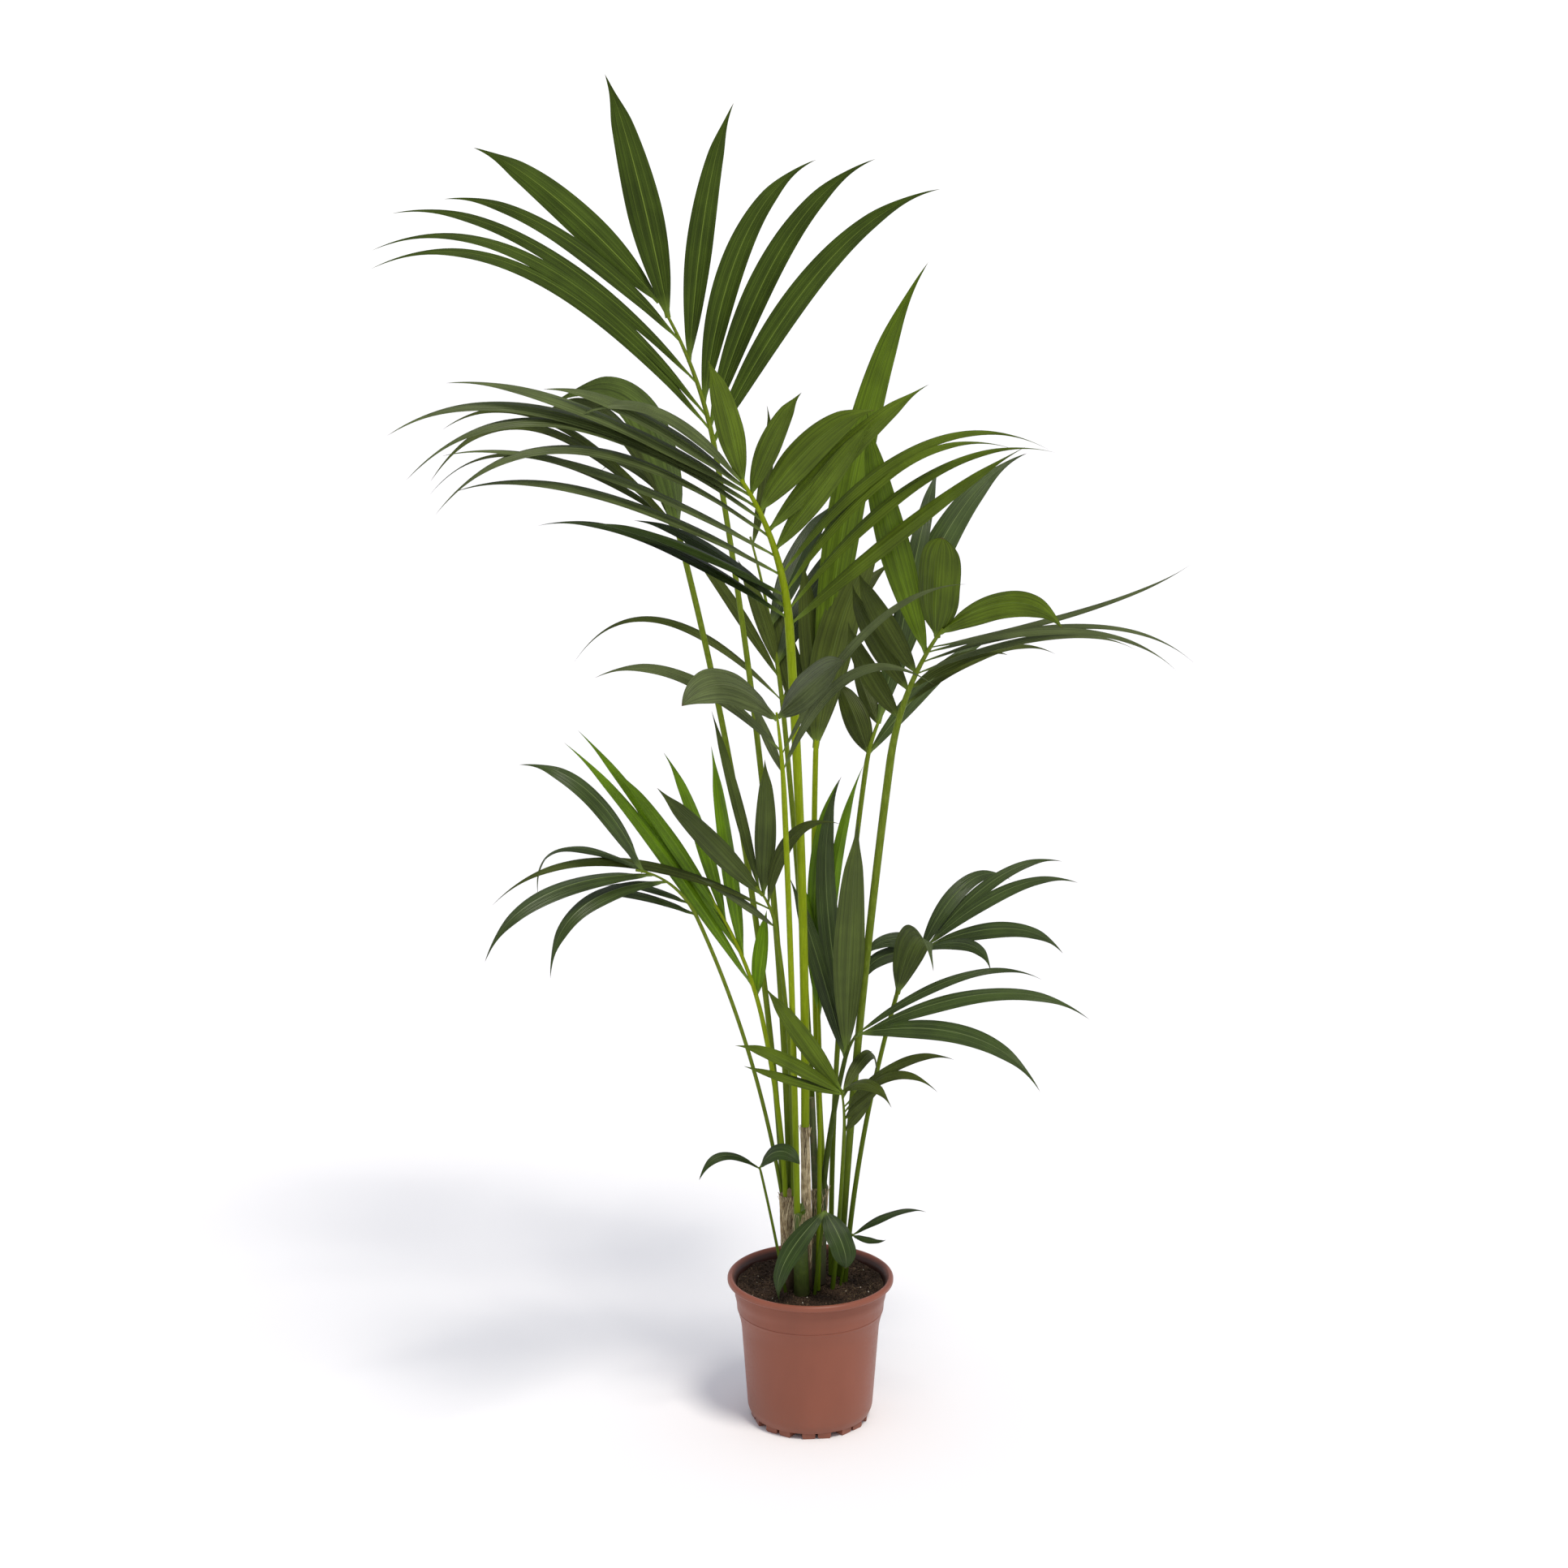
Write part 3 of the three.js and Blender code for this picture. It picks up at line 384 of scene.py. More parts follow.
# Stalks by finish: colour along the stalk, of its streaks and at its foot.
STALK_TONES = {
    "petiole_bright": {"skin": "#7f900e", "streak": "#94a824", "foot": "#4f660c"},
    "petiole_mid": {"skin": "#60711a", "streak": "#7b8c2f", "foot": "#415410"},
    "petiole_dark": {"skin": "#3f4e14", "streak": "#62702e", "foot": "#313f15"},
}

# The outline of every leaflet: how it swells from its foot, falls to its tip and draws the tip out.
LEAF_OUTLINE = {
    "foot": 0.16, "swell": 0.8, "fall": 1.7, "blunting": 3, "draw": 0.5, "draw_span": (0.74, 0.95),
    "draw_lost": 1.4, "draw_most": 1.3,
}
# Its form in space. The two handles of its curve are shares of its reach and of its arch. Angles are in
# degrees, spans are shares of its length, and pleats and flutter fade where half the leaflet is narrower.
LEAF_FORM = {
    "lift_lean": 0.6, "handles": ((0.35, 1.05), (0.78, 1.75)), "broadest": 0.38,
    "twist": 10, "twist_span": (0.25, 1.0),
    "foot_fold": 34, "foot_fold_span": (0.0, 0.16), "fold_power": 1.2, "fold_lift": 0.3,
    "pleat_height": 0.3, "pleat_fade": 10,
    "flutter_height": (0.3, 1.0), "flutter_fade": 15, "flutter_waves": (1.5, 3.5),
    "tone": (0.86, 1.14), "sharp": 48,
}
LEAF_STATIONS = 40       # rings along a leaflet
LEAF_CROWDING = 1.15     # above 1 they lie closer towards the tip
LEAF_HALF = 8            # steps from the midrib to the edge
RACHIS_STEP = 7.0
RACHIS_TAPER = 0.6
STALK_STEP = 12.0
STALK_SIDES = 14
STALK_TAPER = 0.7

# Ranges of the patterns: where a value begins and ends to count, and the shares that it turns into there.
# Those of a leaflet are taken from its midrib outwards, in shares of its width, or from its foot to its tip.
LEAF_RANGES = {
    "midrib": (0.006, 0.022, 1.0, 0.0),
    "side_vein": (0.003, 0.014, 0.35, 0.0),
    "vein_fade": (0.55, 1.0),
    "edge": (0.478, 0.497, 0.0, 0.5),
    "foot": (0.0, 0.09, 0.6, 0.0),
    "tip": (0.972, 0.992, 0.0, 0.8),
    "fine_veins": (0.0, 1.0, 0.9, 1.08),
    "streaks": (0.34, 0.66, 0.66, 1.3),
    "clouds": (0.36, 0.64, 0.84, 1.14),
}
LEAF_MIDDLE = 0.5
SIDE_VEIN_AT = 0.235
VEIN_AT_TIP = 0.25
STALK_RANGES = {
    "streaks": (0.42, 0.75, 0.0, 0.75),
    "scurf": (0.62, 0.72, 0.0, 0.5),
    "foot": (0.2, 0.55, 0.85, 0.0),
}
SHEATH_RANGES = {
    "ribs": (0.3, 0.7, 0.78, 1.2),
    "tears": (0.48, 0.6, 0.0),
    "foot": (0.178, 0.215, 0.9, 0.0),
}
SOIL_RANGES = {"browns": (0.4, 0.68), "damp": (0.35, 0.65, 0.6, 1.25)}
FIBRE_AGE = (0.35, 0.65)
# Heights on the pot are in metres; the soil stain and painted shade inside the mouth are what lies nearer to
# the axis than the middle of the wall.
POT_RANGES = {
    "flow": (0.3, 0.7, 0.93, 1.07),
    "dust": (0.0, 0.05, 0.35, 0.08),
    "wall_middle": (0.1825, 0.1845, 0.0945, 0.0983),
    "inside": (-0.0003, 0.0003),
    "below_lip": (0.186, 0.1905, 0.93, 0.0),
    "above_soil": (0.17, 0.172, 0.0, 1.0),
    "gloss": (0.3, 0.7, 0.36, 0.46),
}


def linear(hex_colour):
    """An sRGB hex colour as linear red, green, blue and alpha."""
    parts = [int(hex_colour[k:k + 2], 16) / 255 for k in (1, 3, 5)]
    light = [c / 12.92 if c <= 0.04045 else ((c + 0.055) / 1.055) ** 2.4 for c in parts]
    return (*light, 1.0)


def connect(tree, node, sockets):
    """Sets or links a node's inputs, given by name or number, or in their order. A node given as a value is
    linked from its first output in use. A Mix node's share is 0 and its colours are 6 and 7. A Map Range node
    takes a value and then one of the ranges above."""
    pairs = sockets.items() if isinstance(sockets, dict) else enumerate(sockets)
    for name, value in pairs:
        if isinstance(value, bpy.types.Node):
            value = next(output for output in value.outputs if output.enabled)
        if isinstance(value, bpy.types.NodeSocket):
            tree.links.new(value, node.inputs[name])
        else:
            node.inputs[name].default_value = value


def add(tree, kind, sockets=(), **settings):
    """Adds a node with its settings and the values and links of its inputs."""
    made = tree.nodes.new(kind)
    for name, value in settings.items():
        setattr(made, name, value)
    connect(tree, made, sockets)
    return made


def finish(name, roughness, specular=0.5):
    """A new material with its shader's own numbers set, and the place that its patterns go by."""
    made = bpy.data.materials.new(name)
    made.use_nodes = True
    shader = made.node_tree.nodes["Principled BSDF"]
    connect(made.node_tree, shader, {"Roughness": roughness, "Specular IOR Level": specular})
    place = add(made.node_tree, "ShaderNodeTexCoord").outputs["Object"]
    return made, made.node_tree, shader, place


# Vectors and curves, as in the solids.

def unit(v):
    v = np.asarray(v, float)
    return v / np.linalg.norm(v, axis=-1, keepdims=True)


def square_to(v, way):
    """The part of v that is at right angles to way."""
    return v - way * np.sum(v * way, axis=-1, keepdims=True)


def mirrored(chord, tangent):
    along = unit(chord)
    return 2 * np.dot(along, tangent) * along - tangent


def hermite(start, start_way, end, end_way, t):
    reach = np.linalg.norm(end - start)
    t = np.asarray(t, float)[..., None]
    t2 = t * t
    t3 = t2 * t
    return ((2 * t3 - 3 * t2 + 1) * start + (t3 - 2 * t2 + t) * reach * start_way
            + (3 * t2 - 2 * t3) * end + (t3 - t2) * reach * end_way)


def limb_of(frond):
    """The curve of a stalk and of the rachis that goes on from it without a kink."""
    foot, neck, crown = (np.array(frond[key], float) for key in ("foot", "neck", "crown"))
    way = unit(unit(neck - foot) + frond.get("bend", NECK_BEND) * unit(crown - neck))
    return {
        "foot": foot, "neck": neck, "crown": crown, "way": way,
        "foot_way": mirrored(neck - foot, way), "crown_way": mirrored(crown - neck, way),
    }


def rachis_point(limb, t):
    return hermite(limb["neck"], limb["way"], limb["crown"], limb["crown_way"], t)


def rachis_way(limb, t):
    return unit(rachis_point(limb, min(t + 0.01, 1)) - rachis_point(limb, max(t - 0.01, 0)))


def smooth_step(low, high, x):
    t = np.clip((x - low) / (high - low), 0, 1)
    return t * t * (3 - 2 * t)


def leaf_width(s, blunt):
    """Width along a leaflet as a share of its greatest width. Most leaflets are drawn out to a fine tip."""
    form = LEAF_OUTLINE
    rise = np.sin(np.pi / 2 * np.minimum(s / LEAF_WIDEST, 1)) ** form["swell"]
    past = np.maximum((s - LEAF_WIDEST) / (1 - LEAF_WIDEST), 0)
    fall = 1 - past ** (form["fall"] * form["blunting"] ** blunt)
    drawn_out = form["draw"] * min(max(1 - form["draw_lost"] * blunt, 0), form["draw_most"])
    return np.maximum(form["foot"], rise) * fall * (1 - drawn_out * smooth_step(*form["draw_span"], s))


def leaf_row(sizes):
    at, aside, back, up, arch, width, flat, blunt = (*sizes, 0)[:8]
    return {
        "at": at, "chord": np.array([aside, back, up], float), "arch": arch, "width": width, "flat": flat,
        "blunt": blunt,
    }


def turned_row(row, limb, corners):
    """The row after the small turn that the solid's leaflet took, or None where the solid has no leaflet.
    corners is a search tree of the solid's corners, and the leaflet's tip is one of them."""
    reach = np.linalg.norm(row["chord"])
    for back, up, shift in TURNS:
        chord = unit(row["chord"] + np.array([0.0, back, up])) * reach
        at = min(max(row["at"] + shift, RACHIS_ENDS[0]), RACHIS_ENDS[1])
        tip = rachis_point(limb, at) + chord
        _, _, miss = corners.find(tip * MM)
        if miss < TURN_TOLERANCE * MM:
            return {**row, "at": at, "chord": chord}
    return None


# Meshes.

def mesh_object(name, points, faces, materials, face_material=None, uvs=None, sharp=None, numbers=None):
    """A piece from points in millimetres. uvs and numbers hold one entry for each point."""
    mesh = bpy.data.meshes.new(name)
    mesh.from_pydata((np.asarray(points) * MM).tolist(), [], faces)
    for material in materials:
        mesh.materials.append(material)
    if face_material is not None:
        mesh.polygons.foreach_set("material_index", face_material)
    if uvs is not None:
        corner = np.zeros(len(mesh.loops), np.int32)
        mesh.loops.foreach_get("vertex_index", corner)
        layer = mesh.uv_layers.new(name="UVMap")
        layer.data.foreach_set("uv", np.asarray(uvs, np.float32)[corner].ravel())
    for key, values in (numbers or {}).items():
        mesh.attributes.new(key, "FLOAT", "POINT").data.foreach_set("value", np.asarray(values, np.float32))
    mesh.shade_smooth()
    if sharp is not None:
        mesh.set_sharp_from_angle(angle=math.radians(sharp))
    mesh.update()
    return linked(name, mesh)


def linked(name, data):
    """An object of this data in the scene."""
    made = bpy.data.objects.new(name, data)
    bpy.context.scene.collection.objects.link(made)
    return made


def turns_of(sides):
    """The angles of the corners of one ring."""
    return 2 * np.pi * np.arange(sides) / sides


def ring_points(radius, height, sides):
    """The corners of one level ring about Z."""
    return [(radius * math.cos(a), radius * math.sin(a), height) for a in turns_of(sides)]


def ring_faces(rings, sides, first=0):
    """Quads between rings of points that follow one another."""
    faces = []
    for ring in range(rings - 1):
        for side in range(sides):
            a = first + ring * sides + side
            b = first + ring * sides + (side + 1) % sides
            faces.append((a, b, b + sides, a + sides))
    return faces


def end_faces(low, first, high, last, sides):
    """Fans that close a stack of rings, from a point below its first ring and a point above its last."""
    faces = []
    for k in range(sides):
        after = (k + 1) % sides
        faces.append((low, first + after, first + k))
        faces.append((high, last + k, last + after))
    return faces


def lathed(profile, segments):
    """Points and faces of a round solid about Z from pairs of radius and height, both ends on the axis."""
    rings = profile[1:-1]
    points = [(0, 0, profile[0][1])]
    for radius, height in rings:
        points += ring_points(radius, height, segments)
    points.append((0, 0, profile[-1][1]))
    last = 1 + (len(rings) - 1) * segments
    ends = end_faces(0, 1, len(points) - 1, last, segments)
    return points, ring_faces(len(rings), segments, 1) + ends


def rounded(profile, steps=4):
    """A profile of radius, height and corner radius with its corners rounded off."""
    points = []
    for k, (r, z, fillet) in enumerate(profile):
        here = np.array([r, z], float)
        if fillet == 0 or k in (0, len(profile) - 1):
            points.append((r, z))
            continue
        before = np.array(profile[k - 1][:2], float) - here
        after = np.array(profile[k + 1][:2], float) - here
        # a corner takes less than half of the shorter side
        cut = min(fillet, 0.45 * np.linalg.norm(before), 0.45 * np.linalg.norm(after))
        start = here + unit(before) * cut
        end = here + unit(after) * cut
        for t in np.linspace(0, 1, steps + 1):
            points.append(tuple((1 - t) ** 2 * start + 2 * t * (1 - t) * here + t * t * end))
    return points


# Node trees that grow what follows a line or covers a surface.

def open_tree(name, inputs):
    """A node tree with a geometry input called Source, the given inputs, and a geometry output."""
    tree = bpy.data.node_groups.new(name, "GeometryNodeTree")
    tree.interface.new_socket("Source", in_out="INPUT", socket_type="NodeSocketGeometry")
    for label, kind in inputs:
        tree.interface.new_socket(label, in_out="INPUT", socket_type=f"NodeSocket{kind}")
    tree.interface.new_socket("Grown", in_out="OUTPUT", socket_type="NodeSocketGeometry")
    return tree, add(tree, "NodeGroupInput").outputs


def close_tree(tree, geometry, material):
    real = add(tree, "GeometryNodeRealizeInstances", {"Geometry": geometry})
    dressed = add(tree, "GeometryNodeSetMaterial", {"Geometry": real, "Material": material})
    add(tree, "NodeGroupOutput", {"Grown": dressed})
    return tree


def limb_tree():
    """Lines of edges become round limbs, as thick as the attribute thickness says at each point."""
    tree, given = open_tree("round_limbs", [("Sides", "Int"), ("Finish", "Material")])
    path = add(tree, "GeometryNodeMeshToCurve", {"Mesh": given["Source"]})
    ring = add(tree, "GeometryNodeCurvePrimitiveCircle", {"Resolution": given["Sides"], "Radius": 1.0})
    thickness = add(tree, "GeometryNodeInputNamedAttribute", {"Name": "thickness"}, data_type="FLOAT")
    skin = add(tree, "GeometryNodeCurveToMesh", {
        "Curve": path, "Profile Curve": ring, "Scale": thickness, "Fill Caps": True,
    })
    smooth = add(tree, "GeometryNodeSetShadeSmooth", {"Geometry": skin})
    return close_tree(tree, smooth, given["Finish"])


def crumb_tree():
    """Angular crumbs strewn over a surface, each with its own turn, proportions and size in metres."""
    tree, given = open_tree("strewn_crumbs", [
        ("Density", "Float"), ("Seed", "Int"), ("Detail", "Int"), ("Smallest", "Float"), ("Largest", "Float"),
        ("Jag", "Float"), ("Finish", "Material"),
    ])
    full_turn = 6.283
    middle = (0.5, 0.5, 0.5)
    seed = given["Seed"]
    spots = add(tree, "GeometryNodeDistributePointsOnFaces", {
        "Mesh": given["Source"], "Density": given["Density"], "Seed": seed,
    })
    ball = add(tree, "GeometryNodeMeshIcoSphere", {"Radius": 1.0, "Subdivisions": given["Detail"]})
    place = add(tree, "GeometryNodeInputPosition")
    noise = add(tree, "ShaderNodeTexNoise", {"Vector": place, "Scale": 1.3})
    centred = add(tree, "ShaderNodeVectorMath", (noise.outputs["Color"], middle), operation="SUBTRACT")
    push = add(tree, "ShaderNodeVectorMath", {0: centred, "Scale": given["Jag"]}, operation="SCALE")
    crumb = add(tree, "GeometryNodeSetPosition", {"Geometry": ball, "Offset": push})
    turn = add(tree, "FunctionNodeRandomValue", {1: (full_turn, full_turn, full_turn), "Seed": seed},
               data_type="FLOAT_VECTOR")
    shape = add(tree, "FunctionNodeRandomValue", {0: (0.6, 0.6, 0.5), 1: (1.3, 1.0, 0.9), "Seed": seed},
                data_type="FLOAT_VECTOR")
    size = add(tree, "FunctionNodeRandomValue", {2: given["Smallest"], 3: given["Largest"], "Seed": seed},
               data_type="FLOAT")
    scale = add(tree, "ShaderNodeVectorMath", {0: shape, "Scale": size}, operation="SCALE")
    crumbs = add(tree, "GeometryNodeInstanceOnPoints", {
        "Points": spots, "Instance": crumb, "Rotation": turn, "Scale": scale,
    })
    return close_tree(tree, crumbs, given["Finish"])


def grown(name, source, tree, **values):
    """The plain mesh that a node tree grows from a source object, which is then removed."""
    modifier = source.modifiers.new(name, "NODES")
    modifier.node_group = tree
    for item in tree.interface.items_tree:
        if item.item_type == "SOCKET" and item.in_out == "INPUT" and item.name in values:
            modifier[item.identifier] = values[item.name]
    bpy.context.view_layer.update()
    graph = bpy.context.evaluated_depsgraph_get()
    mesh = bpy.data.meshes.new_from_object(source.evaluated_get(graph), depsgraph=graph)
    mesh.name = name
    bpy.data.objects.remove(source)
    return linked(name, mesh)


def lines_object(lines):
    """A mesh of separate lines. Each is a pair of points in millimetres and thickness at each point."""
    points = np.concatenate([line for line, _ in lines])
    thickness = np.concatenate([np.broadcast_to(thick, len(line)) for line, thick in lines])
    edges = []
    first = 0
    for line, _ in lines:
        edges += [(first + k, first + k + 1) for k in range(len(line) - 1)]
        first += len(line)
    mesh = bpy.data.meshes.new("lines")
    mesh.from_pydata((points * MM).tolist(), edges, [])
    values = (thickness * MM).astype(np.float32)
    mesh.attributes.new("thickness", "FLOAT", "POINT").data.foreach_set("value", values)
    return linked("lines", mesh)


# Finishes.

def leaf_finish(name, tone, side):
    """Living palm leaf, satin and waxy: long pale veins, fine pleats that catch the light, long streaks that
    are partly the leaf's own and partly painted sheen, a thin dark edge, a paler foot and a dry tip. Each
    leaflet is a little lighter or darker by its attribute leaf_tone."""
    rougher = 0.0 if side == "face" else UNDERSIDE_ROUGHER
    made, tree, shader, place = finish(name, tone["rough"] + rougher, tone["shine"])
    uv = add(tree, "ShaderNodeUVMap", uv_map="UVMap")
    split = add(tree, "ShaderNodeSeparateXYZ", (uv,)).outputs
    across, along = split["X"], split["Y"]

    off_centre = add(tree, "ShaderNodeMath", (across, LEAF_MIDDLE), operation="SUBTRACT")
    from_rib = add(tree, "ShaderNodeMath", (off_centre,), operation="ABSOLUTE")
    midrib = add(tree, "ShaderNodeMapRange", (from_rib, *LEAF_RANGES["midrib"]))
    off_vein = add(tree, "ShaderNodeMath", (from_rib, SIDE_VEIN_AT), operation="SUBTRACT")
    from_vein = add(tree, "ShaderNodeMath", (off_vein,), operation="ABSOLUTE")
    side_vein = add(tree, "ShaderNodeMapRange", (from_vein, *LEAF_RANGES["side_vein"]))
    main_veins = add(tree, "ShaderNodeMath", (midrib, side_vein), operation="MAXIMUM")
    at_tip = VEIN_AT_TIP * tone["veins"]
    faded = add(tree, "ShaderNodeMapRange", (along, *LEAF_RANGES["vein_fade"], tone["veins"], at_tip))
    vein_share = add(tree, "ShaderNodeMath", (main_veins, faded), operation="MULTIPLY")

    # parallel fine veins, about 2.4 mm apart on a leaflet 35 mm wide, broken up by long streaks, which are
    # partly the leaf's own and partly painted sheen and pleat shade
    stretched = add(tree, "ShaderNodeVectorMath", (uv, (15.0, 1.5, 1.0)), operation="MULTIPLY")
    streaks = add(tree, "ShaderNodeTexNoise", {"Vector": stretched, "Scale": 1.0, "Detail": 4.0})
    fine = add(tree, "ShaderNodeTexWave", {"Vector": uv, "Scale": 4.6, "Distortion": 0.0},
               wave_type="BANDS", bands_direction="X")
    fine_light = add(tree, "ShaderNodeMapRange", (fine.outputs["Fac"], *LEAF_RANGES["fine_veins"]))
    streak_and_sheen_light = add(tree, "ShaderNodeMapRange", (streaks, *LEAF_RANGES["streaks"]))
    # cloudy variation, 40 mm across
    clouds = add(tree, "ShaderNodeTexNoise", {"Vector": place, "Scale": 25.0, "Detail": 2.0})
    cloud_light = add(tree, "ShaderNodeMapRange", (clouds, *LEAF_RANGES["clouds"]))
    own = add(tree, "ShaderNodeAttribute", attribute_name="leaf_tone").outputs["Fac"]
    light = fine_light
    for more in (streak_and_sheen_light, cloud_light, own):
        light = add(tree, "ShaderNodeMath", (light, more), operation="MULTIPLY")

    body = add(tree, "ShaderNodeVectorMath", {0: linear(tone[side])[:3], "Scale": light}, operation="SCALE")
    colour = add(tree, "ShaderNodeMix", {0: vein_share, 6: body, 7: linear(tone["vein"])}, data_type="RGBA")
    marks = ((from_rib, "edge", "#26301a"), (along, "foot", "#86a13a"), (along, "tip", "#5b4a2e"))
    for at, part, paint in marks:
        share = add(tree, "ShaderNodeMapRange", (at, *LEAF_RANGES[part]))
        colour = add(tree, "ShaderNodeMix", {0: share, 6: colour, 7: linear(paint)}, data_type="RGBA")

    height = add(tree, "ShaderNodeMath", (fine.outputs["Fac"], streaks), operation="ADD")
    bump = add(tree, "ShaderNodeBump", {"Height": height, "Strength": 0.45, "Distance": 0.0004})
    connect(tree, shader, {"Base Color": colour, "Normal": bump})
    return made


def stalk_finish(name, tone):
    """Living palm stalk, smooth and faintly waxy: long streaks along it, and a darker foot near the soil."""
    made, tree, shader, place = finish(name, 0.46, 0.07)
    # streaks 2 mm wide and 60 mm long, upright as the stalks are
    drawn_out = add(tree, "ShaderNodeMapping", {"Vector": place, "Scale": (500.0, 500.0, 16.0)})
    streaks = add(tree, "ShaderNodeTexNoise", {"Vector": drawn_out, "Scale": 1.0, "Detail": 4.0})
    # grey-brown scurf in flecks 1 to 3 mm across
    scurf = add(tree, "ShaderNodeTexNoise", {"Vector": place, "Scale": 420.0, "Detail": 4.0})
    height = add(tree, "ShaderNodeSeparateXYZ", (place,)).outputs["Z"]
    colour = linear(tone["skin"])
    marks = (
        (streaks, "streaks", tone["streak"]),
        (scurf, "scurf", "#4f5a2c"),
        (height, "foot", tone["foot"]),
    )
    for at, part, paint in marks:
        share = add(tree, "ShaderNodeMapRange", (at, *STALK_RANGES[part]))
        colour = add(tree, "ShaderNodeMix", {0: share, 6: colour, 7: linear(paint)}, data_type="RGBA")
    bump = add(tree, "ShaderNodeBump", {"Height": streaks, "Strength": 0.3, "Distance": 0.0004})
    connect(tree, shader, {"Base Color": colour, "Normal": bump})
    return made


def sheath_finish(name, skin, patch, foot, roughness, patch_share):
    """Leaf sheath round a stem, green where it lives and papery brown where it has dried: long ribs along it,
    torn patches of the other colour, and earth-stained at the foot."""
    made, tree, shader, place = finish(name, roughness, 0.4)
    # ribs 1.2 mm wide
    drawn_out = add(tree, "ShaderNodeMapping", {"Vector": place, "Scale": (800.0, 800.0, 22.0)})
    ribs = add(tree, "ShaderNodeTexNoise", {"Vector": drawn_out, "Scale": 1.0, "Detail": 5.0})
    rib_light = add(tree, "ShaderNodeMapRange", (ribs, *SHEATH_RANGES["ribs"]))
    body = add(tree, "ShaderNodeVectorMath", {0: linear(skin)[:3], "Scale": rib_light}, operation="SCALE")
    # patches about 12 mm across
    tears = add(tree, "ShaderNodeTexNoise", {
        "Vector": place, "Scale": 85.0, "Detail": 6.0, "Roughness": 0.7,
    })
    tear_share = add(tree, "ShaderNodeMapRange", (tears, *SHEATH_RANGES["tears"], patch_share))
    torn = add(tree, "ShaderNodeMix", {0: tear_share, 6: body, 7: linear(patch)}, data_type="RGBA")
    height = add(tree, "ShaderNodeSeparateXYZ", (place,)).outputs["Z"]
    foot_share = add(tree, "ShaderNodeMapRange", (height, *SHEATH_RANGES["foot"]))
    footed = add(tree, "ShaderNodeMix", {0: foot_share, 6: torn, 7: linear(foot)}, data_type="RGBA")
    relief = add(tree, "ShaderNodeMath", (ribs, tears), operation="ADD")
    bump = add(tree, "ShaderNodeBump", {"Height": relief, "Strength": 0.5, "Distance": 0.0005})
    connect(tree, shader, {"Base Color": footed, "Normal": bump})
    return made


def fibre_finish(name, dark, pale):
    """Dry plant fibre, matt and woody: pale brown where it is bleached, darker where it is old."""
    made, tree, shader, place = finish(name, 0.8, 0.3)
    # colour changes about every 8 mm
    age = add(tree, "ShaderNodeTexNoise", {"Vector": place, "Scale": 125.0, "Detail": 4.0})
    share = add(tree, "ShaderNodeMapRange", (age, *FIBRE_AGE))
    mixed = add(tree, "ShaderNodeMix", {0: share, 6: linear(dark), 7: linear(pale)}, data_type="RGBA")
    connect(tree, shader, {"Base Color": mixed})
    return made


def soil_finish(name, dark, pale):
    """Damp peat compost, matt and nearly black-brown: crumbs of several browns, lighter and darker areas."""
    made, tree, shader, place = finish(name, 0.92, 0.25)
    # crumbs about 3 mm across, grains of half that, and damp areas about 30 mm across
    crumbs = add(tree, "ShaderNodeTexVoronoi", {"Vector": place, "Scale": 330.0})
    grains = add(tree, "ShaderNodeTexNoise", {
        "Vector": place, "Scale": 700.0, "Detail": 5.0, "Roughness": 0.7,
    })
    damp = add(tree, "ShaderNodeTexNoise", {"Vector": place, "Scale": 33.0, "Detail": 3.0})
    share = add(tree, "ShaderNodeMapRange", (grains, *SOIL_RANGES["browns"]))
    brown = add(tree, "ShaderNodeMix", {0: share, 6: linear(dark), 7: linear(pale)}, data_type="RGBA")
    wet = add(tree, "ShaderNodeMapRange", (damp, *SOIL_RANGES["damp"]))
    shaded = add(tree, "ShaderNodeVectorMath", {0: brown, "Scale": wet}, operation="SCALE")
    relief = add(tree, "ShaderNodeMath", (grains, crumbs), operation="ADD")
    bump = add(tree, "ShaderNodeBump", {"Height": relief, "Strength": 0.9, "Distance": 0.0015})
    connect(tree, shader, {"Base Color": shaded, "Normal": bump})
    return made


def perlite_finish():
    """Expanded perlite, chalk white and matt with cream stains."""
    made, tree, shader, place = finish("perlite", 0.85, 0.3)
    # stains 1 to 2 mm across
    stain = add(tree, "ShaderNodeTexNoise", {"Vector": place, "Scale": 600.0, "Detail": 3.0})
    mixed = add(tree, "ShaderNodeMix", {0: stain, 6: linear("#d9d4c6"), 7: linear("#a59a84")},
                data_type="RGBA")
    connect(tree, shader, {"Base Color": mixed})
    return made


